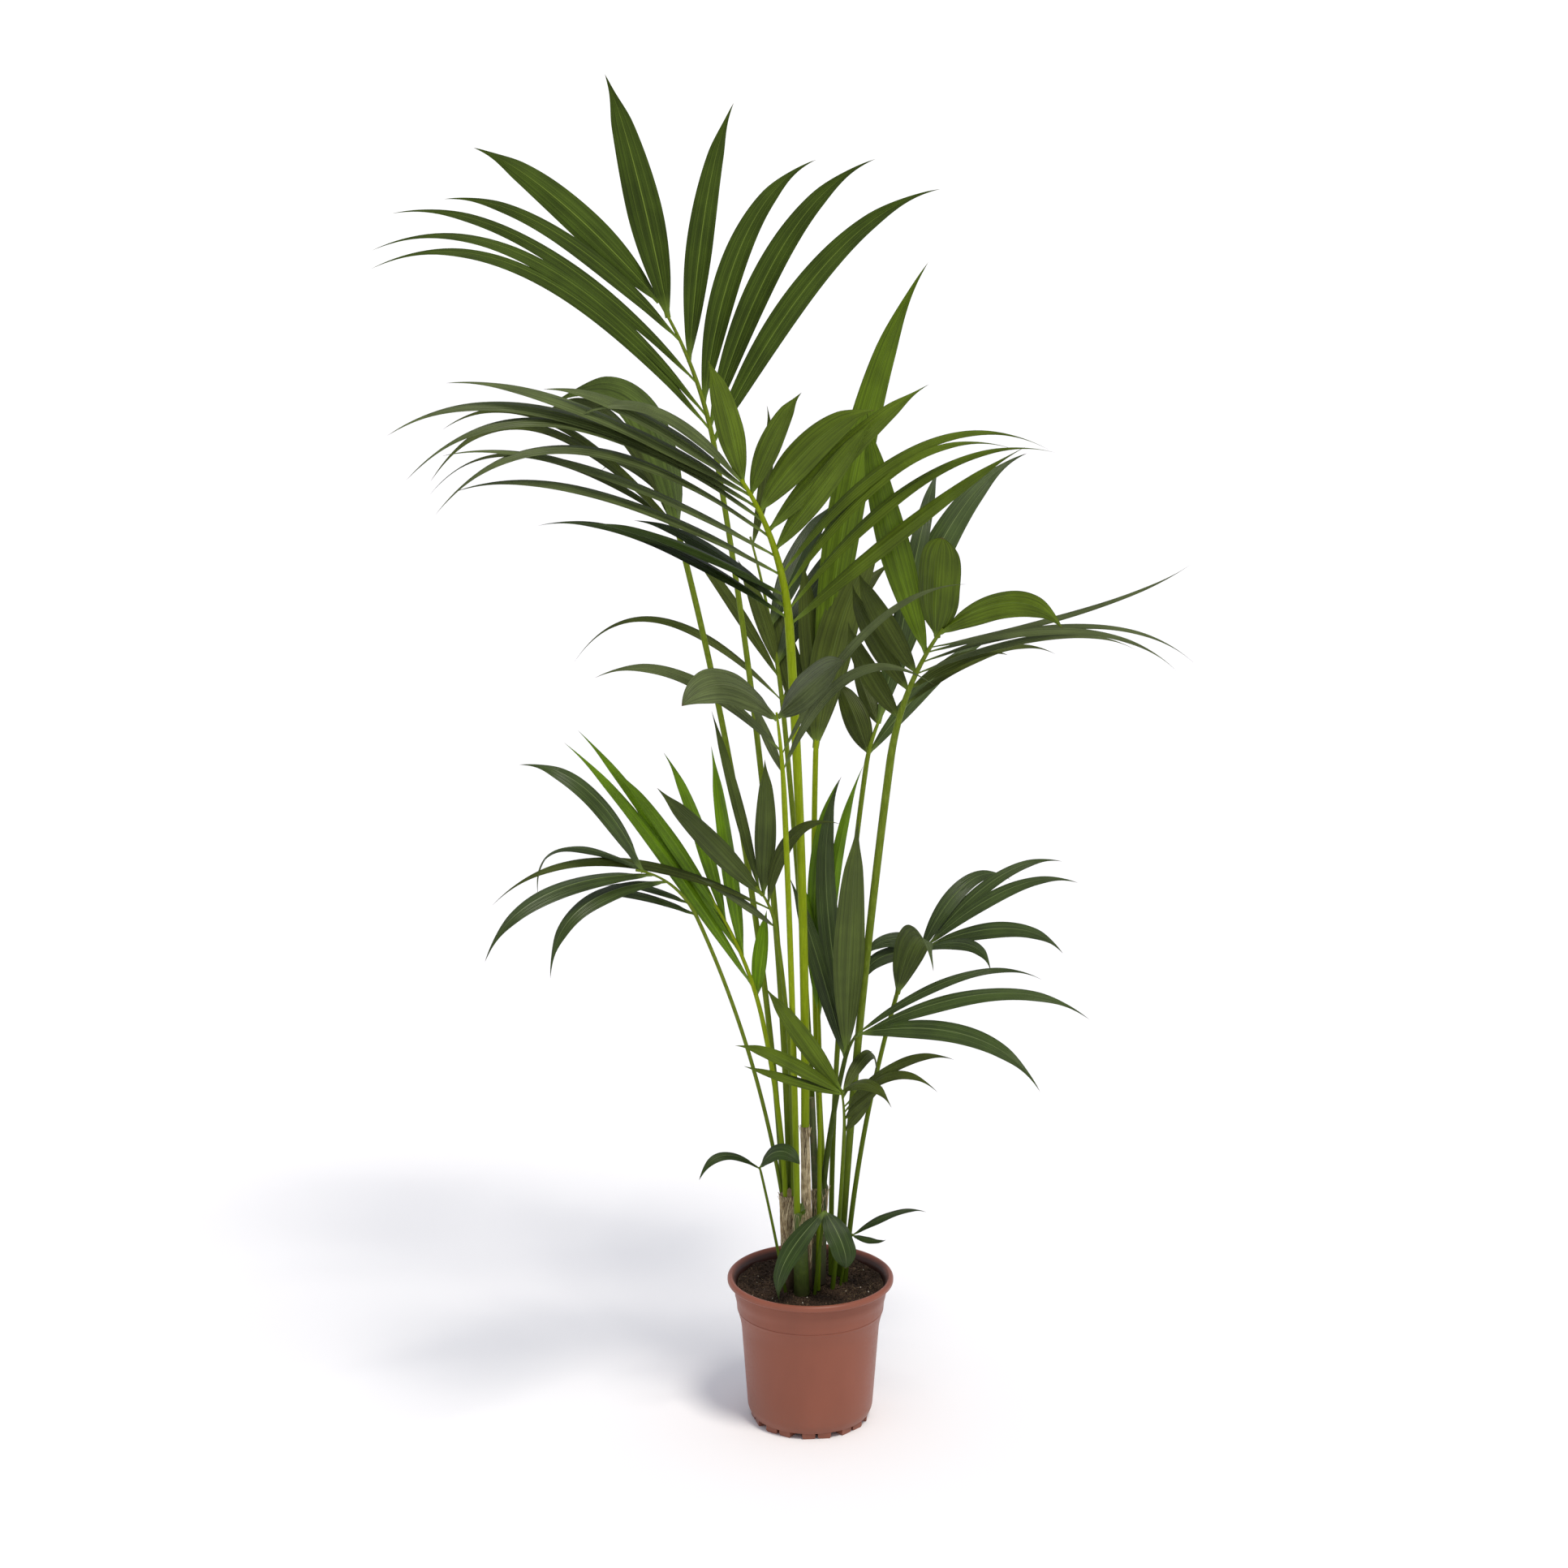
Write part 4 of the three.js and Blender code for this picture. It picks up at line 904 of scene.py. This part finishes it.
def pot_finish():
    """Terracotta-coloured polypropylene, injection moulded: an even skin with a soft sheen, a very fine grain
    from the mould, faint cloudy flow marks, a little dust towards the foot, and a dark band inside the mouth
    that is partly soil stain and partly painted shade."""
    made, tree, shader, place = finish("moulded_polypropylene", 0.4, 0.32)
    height = add(tree, "ShaderNodeSeparateXYZ", (place,)).outputs["Z"]
    # flow marks 50 mm across, drawn upwards as the plastic ran
    drawn_out = add(tree, "ShaderNodeMapping", {"Vector": place, "Scale": (20.0, 20.0, 7.0)})
    flow = add(tree, "ShaderNodeTexNoise", {"Vector": drawn_out, "Scale": 1.0, "Detail": 3.0})
    flow_light = add(tree, "ShaderNodeMapRange", (flow, *POT_RANGES["flow"]))
    body = add(tree, "ShaderNodeVectorMath", {0: linear("#884d3a")[:3], "Scale": flow_light},
               operation="SCALE")
    # dust in spots about 4 mm across
    spots = add(tree, "ShaderNodeTexNoise", {"Vector": place, "Scale": 260.0, "Detail": 5.0})
    low = add(tree, "ShaderNodeMapRange", (height, *POT_RANGES["dust"]))
    dust = add(tree, "ShaderNodeMath", (spots, low), operation="MULTIPLY")
    dusty = add(tree, "ShaderNodeMix", {0: dust, 6: body, 7: linear("#7d6457")}, data_type="RGBA")
    # the inside of the mouth below the lip is darkened, partly stained by wet soil and partly painted shade
    # on
    # the inner wall: what lies nearer to the axis than the middle of the wall, which is wider where the lip
    # stands out
    flat = add(tree, "ShaderNodeVectorMath", (place, (1.0, 1.0, 0.0)), operation="MULTIPLY")
    reach = add(tree, "ShaderNodeVectorMath", (flat,), operation="LENGTH").outputs["Value"]
    limit = add(tree, "ShaderNodeMapRange", (height, *POT_RANGES["wall_middle"]))
    room = add(tree, "ShaderNodeMath", (limit, reach), operation="SUBTRACT")
    stain = add(tree, "ShaderNodeMapRange", (room, *POT_RANGES["inside"]))
    for part in ("below_lip", "above_soil"):
        share = add(tree, "ShaderNodeMapRange", (height, *POT_RANGES[part]))
        stain = add(tree, "ShaderNodeMath", (stain, share), operation="MULTIPLY")
    # dark maroon over the inner wall: soil stain together with painted shade
    stained = add(tree, "ShaderNodeMix", {0: stain, 6: dusty, 7: linear("#35201a")}, data_type="RGBA")
    gloss = add(tree, "ShaderNodeMapRange", (spots, *POT_RANGES["gloss"]))
    # grain of the mould, 0.4 mm, drawn as 0.8 mm so that it shows
    grain = add(tree, "ShaderNodeTexNoise", {"Vector": place, "Scale": 1250.0, "Detail": 2.0})
    bump = add(tree, "ShaderNodeBump", {"Height": grain, "Strength": 0.12, "Distance": 0.0003})
    connect(tree, shader, {"IOR": 1.49, "Base Color": stained, "Roughness": gloss, "Normal": bump})
    return made


def floor_finish():
    """Matt white studio floor with a barely visible unevenness."""
    made, tree, shader, place = finish("painted_floor", 0.95, 0.1)
    uneven = add(tree, "ShaderNodeTexNoise", {"Vector": place, "Scale": 0.8, "Detail": 2.0})
    mixed = add(tree, "ShaderNodeMix", {0: uneven, 6: linear("#f9f9fa"), 7: linear("#fbfbfb")},
                data_type="RGBA")
    connect(tree, shader, {"Base Color": mixed})
    return made


# Fronds.

def carried(looks, way, broadest):
    """The way that the face looks at each station: set where the leaflet is broadest, and carried along it
    from there without turning."""
    up = np.zeros_like(way)
    up[broadest] = unit(square_to(looks, way[broadest]))
    for k in range(broadest + 1, len(way)):
        up[k] = unit(square_to(up[k - 1], way[k]))
    for k in range(broadest - 1, -1, -1):
        up[k] = unit(square_to(up[k + 1], way[k]))
    return up


def leaf_relief(half, u, s, tone, rng):
    """Height of a leaflet's top over its own plane: the midrib's fold, fine pleats and a fluttering edge."""
    form = LEAF_FORM
    at_foot = (1 - smooth_step(*form["foot_fold_span"], s))[:, None]
    fold = math.radians(tone["fold"]) + math.radians(form["foot_fold"]) * at_foot
    sunk = -np.abs(u) ** form["fold_power"] * half * np.tan(fold) + form["fold_lift"] * half * np.tan(fold)
    pleats = form["pleat_height"] * np.cos(np.pi * u * LEAF_HALF) * np.minimum(half / form["pleat_fade"], 1)
    flutter_height = rng.uniform(*form["flutter_height"]) * np.minimum(half / form["flutter_fade"], 1)
    waves = np.sin(2 * np.pi * (rng.uniform(*form["flutter_waves"]) * s[:, None] + rng.uniform(0, 1)))
    return sunk + pleats + flutter_height * waves * u * np.abs(u)


def closed_leaf(top, under, tip, u, s):
    """The closed skin of a leaflet. Each ring runs over the top and back along the underside, and the tip
    closes the last one. Returns points, faces, face materials and uvs."""
    ring = np.concatenate([top, under[:, ::-1]], axis=1)[:-1]
    points = np.concatenate([ring.reshape(-1, 3), tip[None]])
    sides = ring.shape[1]
    faces = ring_faces(len(ring), sides)
    last = (len(ring) - 1) * sides
    faces += [(last + k, last + (k + 1) % sides, len(points) - 1) for k in range(sides)]
    one_ring = [0 if k < len(u) - 1 else 1 for k in range(sides)]
    materials = one_ring * len(ring) + [0]
    faces.append(tuple(range(sides - 1, -1, -1)))
    # cross(up, way) points to the left of the way, so the ring is turned to face outwards
    faces = [corners[::-1] for corners in faces]
    ring_u = np.concatenate([u, u[1:-1][::-1]]) / 2 + 0.5
    uvs = np.stack(np.broadcast_arrays(ring_u[None, :], s[:-1, None]), axis=-1).reshape(-1, 2)
    return points, faces, materials, np.concatenate([uvs, [[0.5, 1.0]]])


def leaflet(limb, face, row, tone, rng):
    """One closed thin leaflet. The top runs from edge to edge over a folded midrib and fine pleats, and the
    underside follows it a leaf's thickness below."""
    form = LEAF_FORM
    level = np.array([0.0, 0.0, 1.0])
    root = rachis_point(limb, row["at"])
    chord = row["chord"]
    lift = unit(square_to(level + form["lift_lean"] * rachis_way(limb, row["at"]), unit(chord)))
    low, high = (root + share * chord + arch * row["arch"] * lift for share, arch in form["handles"])
    tip = root + chord

    s = 1 - (1 - np.linspace(0, 1, LEAF_STATIONS + 1)) ** LEAF_CROWDING
    t = s[:, None]
    centre = (1 - t) ** 3 * root + 3 * t * (1 - t) ** 2 * low + 3 * t * t * (1 - t) * high + t ** 3 * tip
    way = unit(3 * (1 - t) ** 2 * (low - root) + 6 * t * (1 - t) * (high - low) + 3 * t * t * (tip - high))

    looks = (1 - row["flat"]) * unit(face) + row["flat"] * level
    up = carried(looks, way, int(np.argmin(np.abs(s - form["broadest"]))))
    most = math.radians(rng.uniform(-form["twist"], form["twist"]))
    twist = most * smooth_step(*form["twist_span"], s)[:, None]
    sideways = np.cross(up, way)
    up, sideways = (up * np.cos(twist) + sideways * np.sin(twist),
                    sideways * np.cos(twist) - up * np.sin(twist))

    half = (leaf_width(s, row["blunt"]) * row["width"] / 2)[:, None]
    u = np.linspace(-1, 1, 2 * LEAF_HALF + 1)
    height = leaf_relief(half, u, s, tone, rng)
    top = centre[:, None] + sideways[:, None] * (u * half)[..., None] + up[:, None] * height[..., None]
    thin = np.minimum(LEAF_THICKNESS, 0.5 * half)
    under = top[:, 1:-1] - up[:, None] * thin[..., None]
    return closed_leaf(top, under, tip, u, s)


def blade_piece(frond, limb, solid, leaf_materials, rng):
    """All leaflets of one frond as one mesh, grown by the rule of the solids and carried finer."""
    corners = kdtree.KDTree(len(solid.data.vertices))
    for vertex in solid.data.vertices:
        corners.insert(vertex.co, vertex.index)
    corners.balance()
    points, faces, materials, uvs, tones = [], [], [], [], []
    used = []
    first = 0
    for tone, sizes in frond["leaflets"]:
        row = turned_row(leaf_row(sizes), limb, corners)
        if row is None:
            continue
        if tone not in used:
            used.append(tone)
        slot = 2 * used.index(tone)
        made_points, made_faces, kinds, made_uvs = leaflet(limb, frond["face"], row, LEAF_TONES[tone], rng)
        points.append(made_points)
        faces += [tuple(first + k for k in face) for face in made_faces]
        materials += [slot + kind for kind in kinds]
        uvs.append(made_uvs)
        tones.append(np.full(len(made_points), rng.uniform(*LEAF_FORM["tone"])))
        first += len(made_points)
    worn = [leaf_materials[tone][side] for tone in used for side in ("face", "back")]
    return mesh_object(f"blade_{frond['name']}", np.concatenate(points), faces, worn, materials,
                       np.concatenate(uvs), LEAF_FORM["sharp"], {"leaf_tone": np.concatenate(tones)})


def stalk_line(frond, limb):
    """The centreline of a stalk and its rachis, and the thickness along it."""
    reach = np.linalg.norm(limb["neck"] - limb["foot"])
    t = np.linspace(0, 1, max(int(reach / STALK_STEP), 6) + 1)
    stalk = hermite(limb["foot"], limb["foot_way"], limb["neck"], limb["way"], t)
    foot, neck = frond["thick"]
    stalk_radius = foot * (1 - t ** STALK_TAPER) + neck * t ** STALK_TAPER
    reach = np.linalg.norm(limb["crown"] - limb["neck"])
    t = np.linspace(0, 1, max(int(reach / RACHIS_STEP), 3) + 1)[1:]
    rachis = rachis_point(limb, t)
    rachis_radius = np.maximum(neck * (1 - RACHIS_TAPER * t), THINNEST_RACHIS)
    return np.concatenate([stalk, rachis]), np.concatenate([stalk_radius, rachis_radius])


# Stems and what hangs on them.

def stem_line(stem, t):
    """Centre and radius of a stem at shares of its height."""
    t = np.asarray(t, float)
    foot = np.array([*stem["foot"], SOIL_TOP + CLEARANCE])
    top = np.array(stem["top"], float)
    centre = foot + (top - foot) * t[..., None]
    # most of a stem's change of radius lies near its two ends
    shares = (0, 0.12, 0.5, 0.85, 1)
    radii = np.interp((0, 0.75, 1, 1.6, 2), (0, 1, 2), stem["radius"])
    return centre, np.interp(t, shares, radii)


def stem_piece(stem, material):
    """A stem wrapped in leaf sheaths: fine ribs run up it, each sheath ends in a slanting lip, and the last
    one stands up raggedly round the stalks that come out of it."""
    form = SHEATH
    sides, levels = form["sides"], form["levels"]
    ribs = stem["ribs"]
    angle = turns_of(sides)
    t = np.linspace(0, 1, levels)
    centre, radius = stem_line(stem, t)
    height = t[:, None]
    relief = form["rib"] * np.sin(ribs * angle) + form["fine_rib"] * np.sin(2.3 * ribs * angle + 9 * height)
    for lip_height, lip_turn, lip_depth in stem["lips"]:
        edge = lip_height + form["slant"] * np.sin(angle - lip_turn)
        step = 1 - smooth_step(edge - form["softness"], edge + form["softness"], height)
        hollow = 1 - smooth_step(edge - form["hollow_reach"], edge, height)
        relief = relief + lip_depth * step - form["hollow"] * lip_depth * hollow
    skin = radius[:, None] - form["sunk"] + relief
    last_turn = stem["lips"][-1][1]
    ragged = 1.0 + np.sin(angle - last_turn) + 0.22 * np.sin(5 * angle + ribs) + 0.16 * np.sin(13 * angle)
    raised = form["raised"] * np.maximum(ragged, 0) * smooth_step(form["raised_from"], 1.0, height)
    ring = np.stack([
        centre[:, 0, None] + skin * np.cos(angle),
        centre[:, 1, None] + skin * np.sin(angle),
        centre[:, 2, None] + raised,
    ], axis=-1)
    points = np.concatenate([ring.reshape(-1, 3), centre[:1], centre[-1:]])
    ends = end_faces(len(points) - 2, 0, len(points) - 1, (levels - 1) * sides, sides)
    faces = ring_faces(levels, sides) + ends
    return mesh_object(f"{stem['name']}_sheaths", points, faces, [material], sharp=60)


def net_lines(stem, count, low, high, loose, rng):
    """Crossing fibres wound round a stem between two shares of its height, some with a loose end above it."""
    lines = []
    along = np.linspace(0, 1, FIBRE["points"])
    for _ in range(count):
        start = rng.uniform(0, 2 * np.pi)
        slope = rng.choice([-1, 1]) * rng.uniform(*FIBRE["slope"])
        foot = rng.uniform(low, high - FIBRE["rise"][0])
        head = min(foot + rng.uniform(*FIBRE["rise"]), high)
        t = np.linspace(foot, head, FIBRE["points"])
        centre, radius = stem_line(stem, t)
        turn = start + slope * (t - foot) * 3 + FIBRE["wave"] * np.sin(9 * t + start)
        lifted = radius - FIBRE["sunk"] + rng.uniform(*FIBRE["bulge"]) * np.sin(np.pi * along)
        if head == high and rng.uniform() < loose:
            lifted = lifted + FIBRE["fringe"] * along ** 4
        level = np.zeros(FIBRE["points"])
        line = centre + np.stack([lifted * np.cos(turn), lifted * np.sin(turn), level], axis=-1)
        lines.append((line, rng.uniform(*FIBRE["thick"])))
    return lines


def root_lines(rng):
    """Fine pale roots that lie on the soil in loose bends."""
    lines = []
    for _ in range(ROOTS["count"]):
        way = rng.uniform(0, 2 * np.pi)
        place = ROOTS["spread"] * math.sqrt(rng.uniform(0.02, 1)) * np.array([math.cos(way), math.sin(way)])
        heading = rng.uniform(0, 2 * np.pi)
        steps = int(rng.integers(*ROOTS["steps"]))
        bend = rng.uniform(-ROOTS["bend"], ROOTS["bend"])
        line = []
        for step in range(steps):
            lift = ROOTS["lift"] + ROOTS["lift"] * math.sin(step)
            line.append((*place, soil_height(*place) + lift))
            heading += bend + rng.uniform(-ROOTS["wander"], ROOTS["wander"])
            place = place + ROOTS["step"] * np.array([math.cos(heading), math.sin(heading)])
            if np.linalg.norm(place) > ROOTS["limit"]:
                break
        if len(line) > 3:
            lines.append((np.array(line), rng.uniform(*ROOTS["thick"])))
    return lines


# Soil and pot.

def hills(x, y):
    """Smooth lumps of the soil, in millimetres."""
    total = 0.0
    for wave, turn, shift, height in SOIL_LUMPS:
        along = x * math.cos(turn) + y * math.sin(turn)
        beside = y * math.cos(turn) - x * math.sin(turn)
        total = total + height * np.sin(along / wave * 2 + shift) * np.cos(beside / wave * 1.7 - 2 * shift)
    return total


def soil_height(x, y):
    """The soil lies level round the stems and rises a little to the wall."""
    radii = (0, SOIL["flat_radius"], SOIL["edge_radius"])
    level = np.interp(np.hypot(x, y), radii, (SOIL_TOP, SOIL_TOP, SOIL["edge_top"]))
    return level + hills(x, y) - SOIL["settled"]


def inside(radius):
    """The radius at which the soil ends inside a wall of this outer radius."""
    return radius - POT["wall"] - SOIL["gap"]


def soil_top(outer):
    """Points and faces of the soil's upper surface, centre first."""
    sides = SOIL["sides"]
    angle = turns_of(sides)
    points = [(0.0, 0.0, float(soil_height(0.0, 0.0)))]
    for radius in outer * np.linspace(0, 1, SOIL["rings"] + 1)[1:]:
        x, y = radius * np.cos(angle), radius * np.sin(angle)
        points += list(zip(x, y, soil_height(x, y)))
    faces = ring_faces(SOIL["rings"], sides, 1)
    faces += [(0, 1 + k, 1 + (k + 1) % sides) for k in range(sides)]
    return points, faces


def soil_piece(material):
    """The body of the soil, from the floor of the pot to its lumpy top."""
    sides = SOIL["sides"]
    points, faces = soil_top(SOIL["outer"])
    floor = POT["floor_top"] + SOIL["gap"]
    outline = [
        (POT["collar_radius"], SOIL["edge_top"] - SOIL["edge_drop"]),
        COLLAR["waist"],
        COLLAR["step"],
        COLLAR["body"],
        (POT["body_foot_radius"], POT["chamfer_top"] + POT["inner_chamfer"]),
        (POT["foot_radius"], floor),
    ]
    for radius, height in outline:
        first = len(points)
        points += ring_points(inside(radius), height, sides)
        faces += ring_faces(2, sides, first - sides)
    points.append((0.0, 0.0, floor))
    last = len(points) - 1 - sides
    faces += [(len(points) - 1, last + (k + 1) % sides, last + k) for k in range(sides)]
    return mesh_object("soil_bed", points, faces, [material])


def pot_profile():
    """The pot's outline from its foot up, over the rim and down inside: radius, height and corner radius."""
    p = POT
    lip_bottom = p["rim_top"] - p["lip_height"]
    wall = p["wall"]
    groove_radius, groove_height = COLLAR["groove"]
    outside = [
        (0, p["foot_height"], 0),
        (p["foot_radius"], p["foot_height"], 0.8),
        (p["body_foot_radius"], p["chamfer_top"], 4),
        (*COLLAR["body"], 9),
        (*COLLAR["step"], 7),
        (groove_radius, groove_height - GROOVE_BELOW, 0.4),
        (groove_radius - GROOVE_DEPTH, groove_height, 0.2),
        (groove_radius + 0.1, groove_height + GROOVE_ABOVE, 0.2),
        (*COLLAR["waist"], 5),
        (*COLLAR["flare"], 5),
    ]
    rim = [
        (p["collar_radius"] + 0.6, lip_bottom - 0.2, 1.2),
        (p["rim_radius"] - 1.2, lip_bottom, 0.9),
        (p["rim_radius"], lip_bottom + 1.6, 1.2),
        (p["rim_radius"], p["rim_top"] - 2.2, 1.8),
        (p["rim_radius"] - 2.6, p["rim_top"], 1.8),
        (p["rim_radius"] - 5.6, p["rim_top"] - 0.2, 1.5),
        (p["mouth_radius"] + 0.2, p["rim_top"] - 2.4, 1.8),
    ]
    within = [(p["collar_radius"] - wall + 0.6, lip_bottom, 3)]
    within += [(COLLAR[level][0] - wall, COLLAR[level][1], 1) for level in ("waist", "step", "body")]
    within += [
        (p["body_foot_radius"] - wall, p["chamfer_top"] + p["inner_chamfer"], 1),
        (p["foot_radius"] - wall, p["floor_top"], 1),
        (0, p["floor_top"], 0),
    ]
    return outside + rim + within


def foot_block(angle, sideways):
    """One block of the pot's foot, with chamfered lower corners: outlines at three levels."""
    radial = np.array([math.cos(angle), math.sin(angle), 0.0])
    beside = np.array([-math.sin(angle), math.cos(angle), 0.0])
    half = POT["foot_width"] / 2
    outer = math.sqrt(POT["foot_radius"] ** 2 - (abs(sideways) + half) ** 2)
    inner = POT["foot_radius"] - POT["foot_depth"]
    points = []
    for height, out, cut in (
        (0.0, outer - POT["foot_draft"], POT["foot_chamfer"]),
        (POT["foot_chamfer"], outer, POT["foot_corner"]),
        (POT["foot_height"] + POT["sunk"], outer, POT["foot_corner"]),
    ):
        for r, b in ((inner, -half + cut), (out, -half + cut), (out, half - cut), (inner, half - cut)):
            points.append(radial * r + beside * (sideways + b) + np.array([0, 0, height]))
    faces = ring_faces(3, 4) + [(3, 2, 1, 0), (8, 9, 10, 11)]
    return points, faces


def pot_piece(material):
    """The pot: a turned shell, a flat pad under it, and pairs of blocks round its foot."""
    points, faces = lathed(rounded(pot_profile()), POT["segments"])
    pad_height = POT["foot_height"] + POT["sunk"]
    pad = rounded([
        (0, 0, 0), (POT["pad_radius"], 0, 0.8), (POT["pad_radius"], pad_height, 0), (0, pad_height, 0),
    ])
    parts = [lathed(pad, POT["pad_segments"])]
    half_step = (POT["foot_width"] + POT["slit"]) / 2
    for pair in range(POT["foot_pairs"]):
        angle = math.radians(POT["first_pair"] + 360 * pair / POT["foot_pairs"])
        parts += [foot_block(angle, -half_step), foot_block(angle, half_step)]
    for more_points, more_faces in parts:
        first = len(points)
        points = points + list(more_points)
        faces = faces + [tuple(first + k for k in face) for face in more_faces]
    return mesh_object("pot_shell", points, faces, [material], sharp=32)


# The studio.

def studio():
    """Camera of the photograph, pale floor, one broad light from the front right and soft light all round."""
    scene = bpy.context.scene
    scene.view_settings.view_transform = "Standard"
    camera = linked("camera", bpy.data.cameras.new("camera"))
    camera.data.lens = CAMERA_LENS
    camera.data.sensor_width = SENSOR_WIDTH
    camera.location = CAMERA_PLACE
    camera.rotation_euler = (math.radians(90 - CAMERA_DOWN), 0, 0)
    scene.camera = camera

    reach = FLOOR_REACH
    corners = [(-reach, -reach, 0), (reach, -reach, 0), (reach, reach, 0), (-reach, reach, 0)]
    floor = mesh_object("floor", corners, [(0, 1, 2, 3)], [floor_finish()])

    key = linked("key_light", bpy.data.lights.new("key_light", "SUN"))
    key.data.energy = SUN["energy"]
    key.data.angle = math.radians(SUN["width"])
    key.data.color = linear(SUN["colour"])[:3]
    key.rotation_euler = [math.radians(turn) for turn in SUN["turns"]]

    world = bpy.data.worlds.new("soft_room")
    world.use_nodes = True
    scene.world = world
    tree = world.node_tree
    way = add(tree, "ShaderNodeTexCoord").outputs["Generated"]
    height = add(tree, "ShaderNodeSeparateXYZ", (way,)).outputs["Z"]
    share = add(tree, "ShaderNodeMapRange", (height, *ROOM["change"]))
    colour = add(tree, "ShaderNodeMix", {0: share, 6: ROOM["eye_level"], 7: ROOM["overhead"]},
                 data_type="RGBA")
    connect(tree, tree.nodes["Background"], {"Color": colour})


def dress(piece, slot, *nodes):
    """A finished piece rides on the one body and stands for its solids, which it hides. Its slot is not used.
    """
    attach(piece, "root")
    if nodes:
        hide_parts(*nodes)


def dress_fronds(frame, limbs_tree, rng):
    leaf_materials = {}
    for name, tone in LEAF_TONES.items():
        leaf_materials[name] = {
            "face": leaf_finish(f"palm_leaf_{name}", tone, "face"),
            "back": leaf_finish(f"palm_leaf_{name}_underside", tone, "back"),
        }
    stalk_materials = {name: stalk_finish(name, tone) for name, tone in STALK_TONES.items()}
    for frond in FRONDS:
        limb = limb_of(frond)
        solid = frame["nodes"][f"frond_{frond['name']}"]
        dress(blade_piece(frond, limb, solid, leaf_materials, rng), "leaf", solid.name)
        stalk = grown(f"petiole_{frond['name']}", lines_object([stalk_line(frond, limb)]), limbs_tree,
                      Sides=STALK_SIDES, Finish=stalk_materials[frond["stalk"]])
        dress(stalk, "stalk", f"stalk_{frond['name']}")


def dress_stems(limbs_tree, rng):
    sheaths = {
        "green": sheath_finish("living_leaf_sheath", "#42560f", "#566a1c", "#2c3012", 0.45, 0.5),
        "dry": sheath_finish("papery_leaf_sheath", "#64543d", "#8a7857", "#42331f", 0.85, 0.5),
        "old": sheath_finish("old_leaf_sheath", "#465026", "#5f553c", "#352b1f", 0.7, 0.7),
    }
    fibre = fibre_finish("sheath_fibre", "#a08d69", "#cdbd98")
    for stem in STEMS:
        dress(stem_piece(stem, sheaths[stem["sheath"]]), "sheath", stem["name"])
    stems = {stem["name"]: stem for stem in STEMS}
    nets = []
    for name, net in NETS.items():
        nets += net_lines(stems[name], *net, rng)
    fibres = grown("sheath_fibres", lines_object(nets), limbs_tree, Sides=FIBRE["sides"], Finish=fibre)
    dress(fibres, "sheath")

    foot, top = (np.array(CUT_STALK[end], float) for end in ("foot", "top"))
    foot_radius, top_radius = CUT_STALK["radius"]
    t = np.linspace(0, 1, CUT_STALK["points"])
    radius = np.interp(t, (0, 0.97, 1), (foot_radius, top_radius, top_radius - CUT_STALK["worn"]))
    line = foot + (top - foot) * t[:, None]
    stump = grown("cut_stalk_stub", lines_object([(line, radius)]), limbs_tree,
                  Sides=STALK_SIDES, Finish=sheaths["old"])
    dress(stump, "sheath", "cut_stalk")


def dress_soil(limbs_tree, rng):
    compost = soil_finish("peat_compost", "#251b13", "#5a4634")
    bark = soil_finish("bark_crumbs", "#332418", "#8a7259")
    dress(soil_piece(compost), "soil", "soil")
    strewn = crumb_tree()
    worn = {
        "fine_crumbs": compost, "coarse_crumbs": compost, "bark_bits": bark, "perlite_bits": perlite_finish(),
    }
    for name, values in CRUMB_BEDS.items():
        points, faces = soil_top(SOIL["bed_outer"])
        bed = mesh_object("bed", points, faces, [])
        inputs = dict(zip(CRUMB_INPUTS, values))
        dress(grown(name, bed, strewn, Finish=worn[name], **inputs), "soil")
    pale = fibre_finish("pale_root", "#3b2d20", "#8a7656")
    roots = grown("soil_roots", lines_object(root_lines(rng)), limbs_tree, Sides=FIBRE["sides"], Finish=pale)
    dress(roots, "soil")


def dress_palm(frame):
    rng = np.random.default_rng(SEED)
    limbs_tree = limb_tree()
    dress_fronds(frame, limbs_tree, rng)
    dress_stems(limbs_tree, rng)
    dress_soil(limbs_tree, rng)
    dress(pot_piece(pot_finish()), "pot", "pot")


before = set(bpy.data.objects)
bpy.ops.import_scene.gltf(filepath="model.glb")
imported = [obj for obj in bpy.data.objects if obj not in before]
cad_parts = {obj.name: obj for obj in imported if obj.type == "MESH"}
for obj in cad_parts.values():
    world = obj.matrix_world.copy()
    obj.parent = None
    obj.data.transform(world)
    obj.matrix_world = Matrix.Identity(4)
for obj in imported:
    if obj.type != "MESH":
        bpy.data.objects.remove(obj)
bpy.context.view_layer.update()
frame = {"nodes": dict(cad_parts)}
studio()
dress_palm(frame)
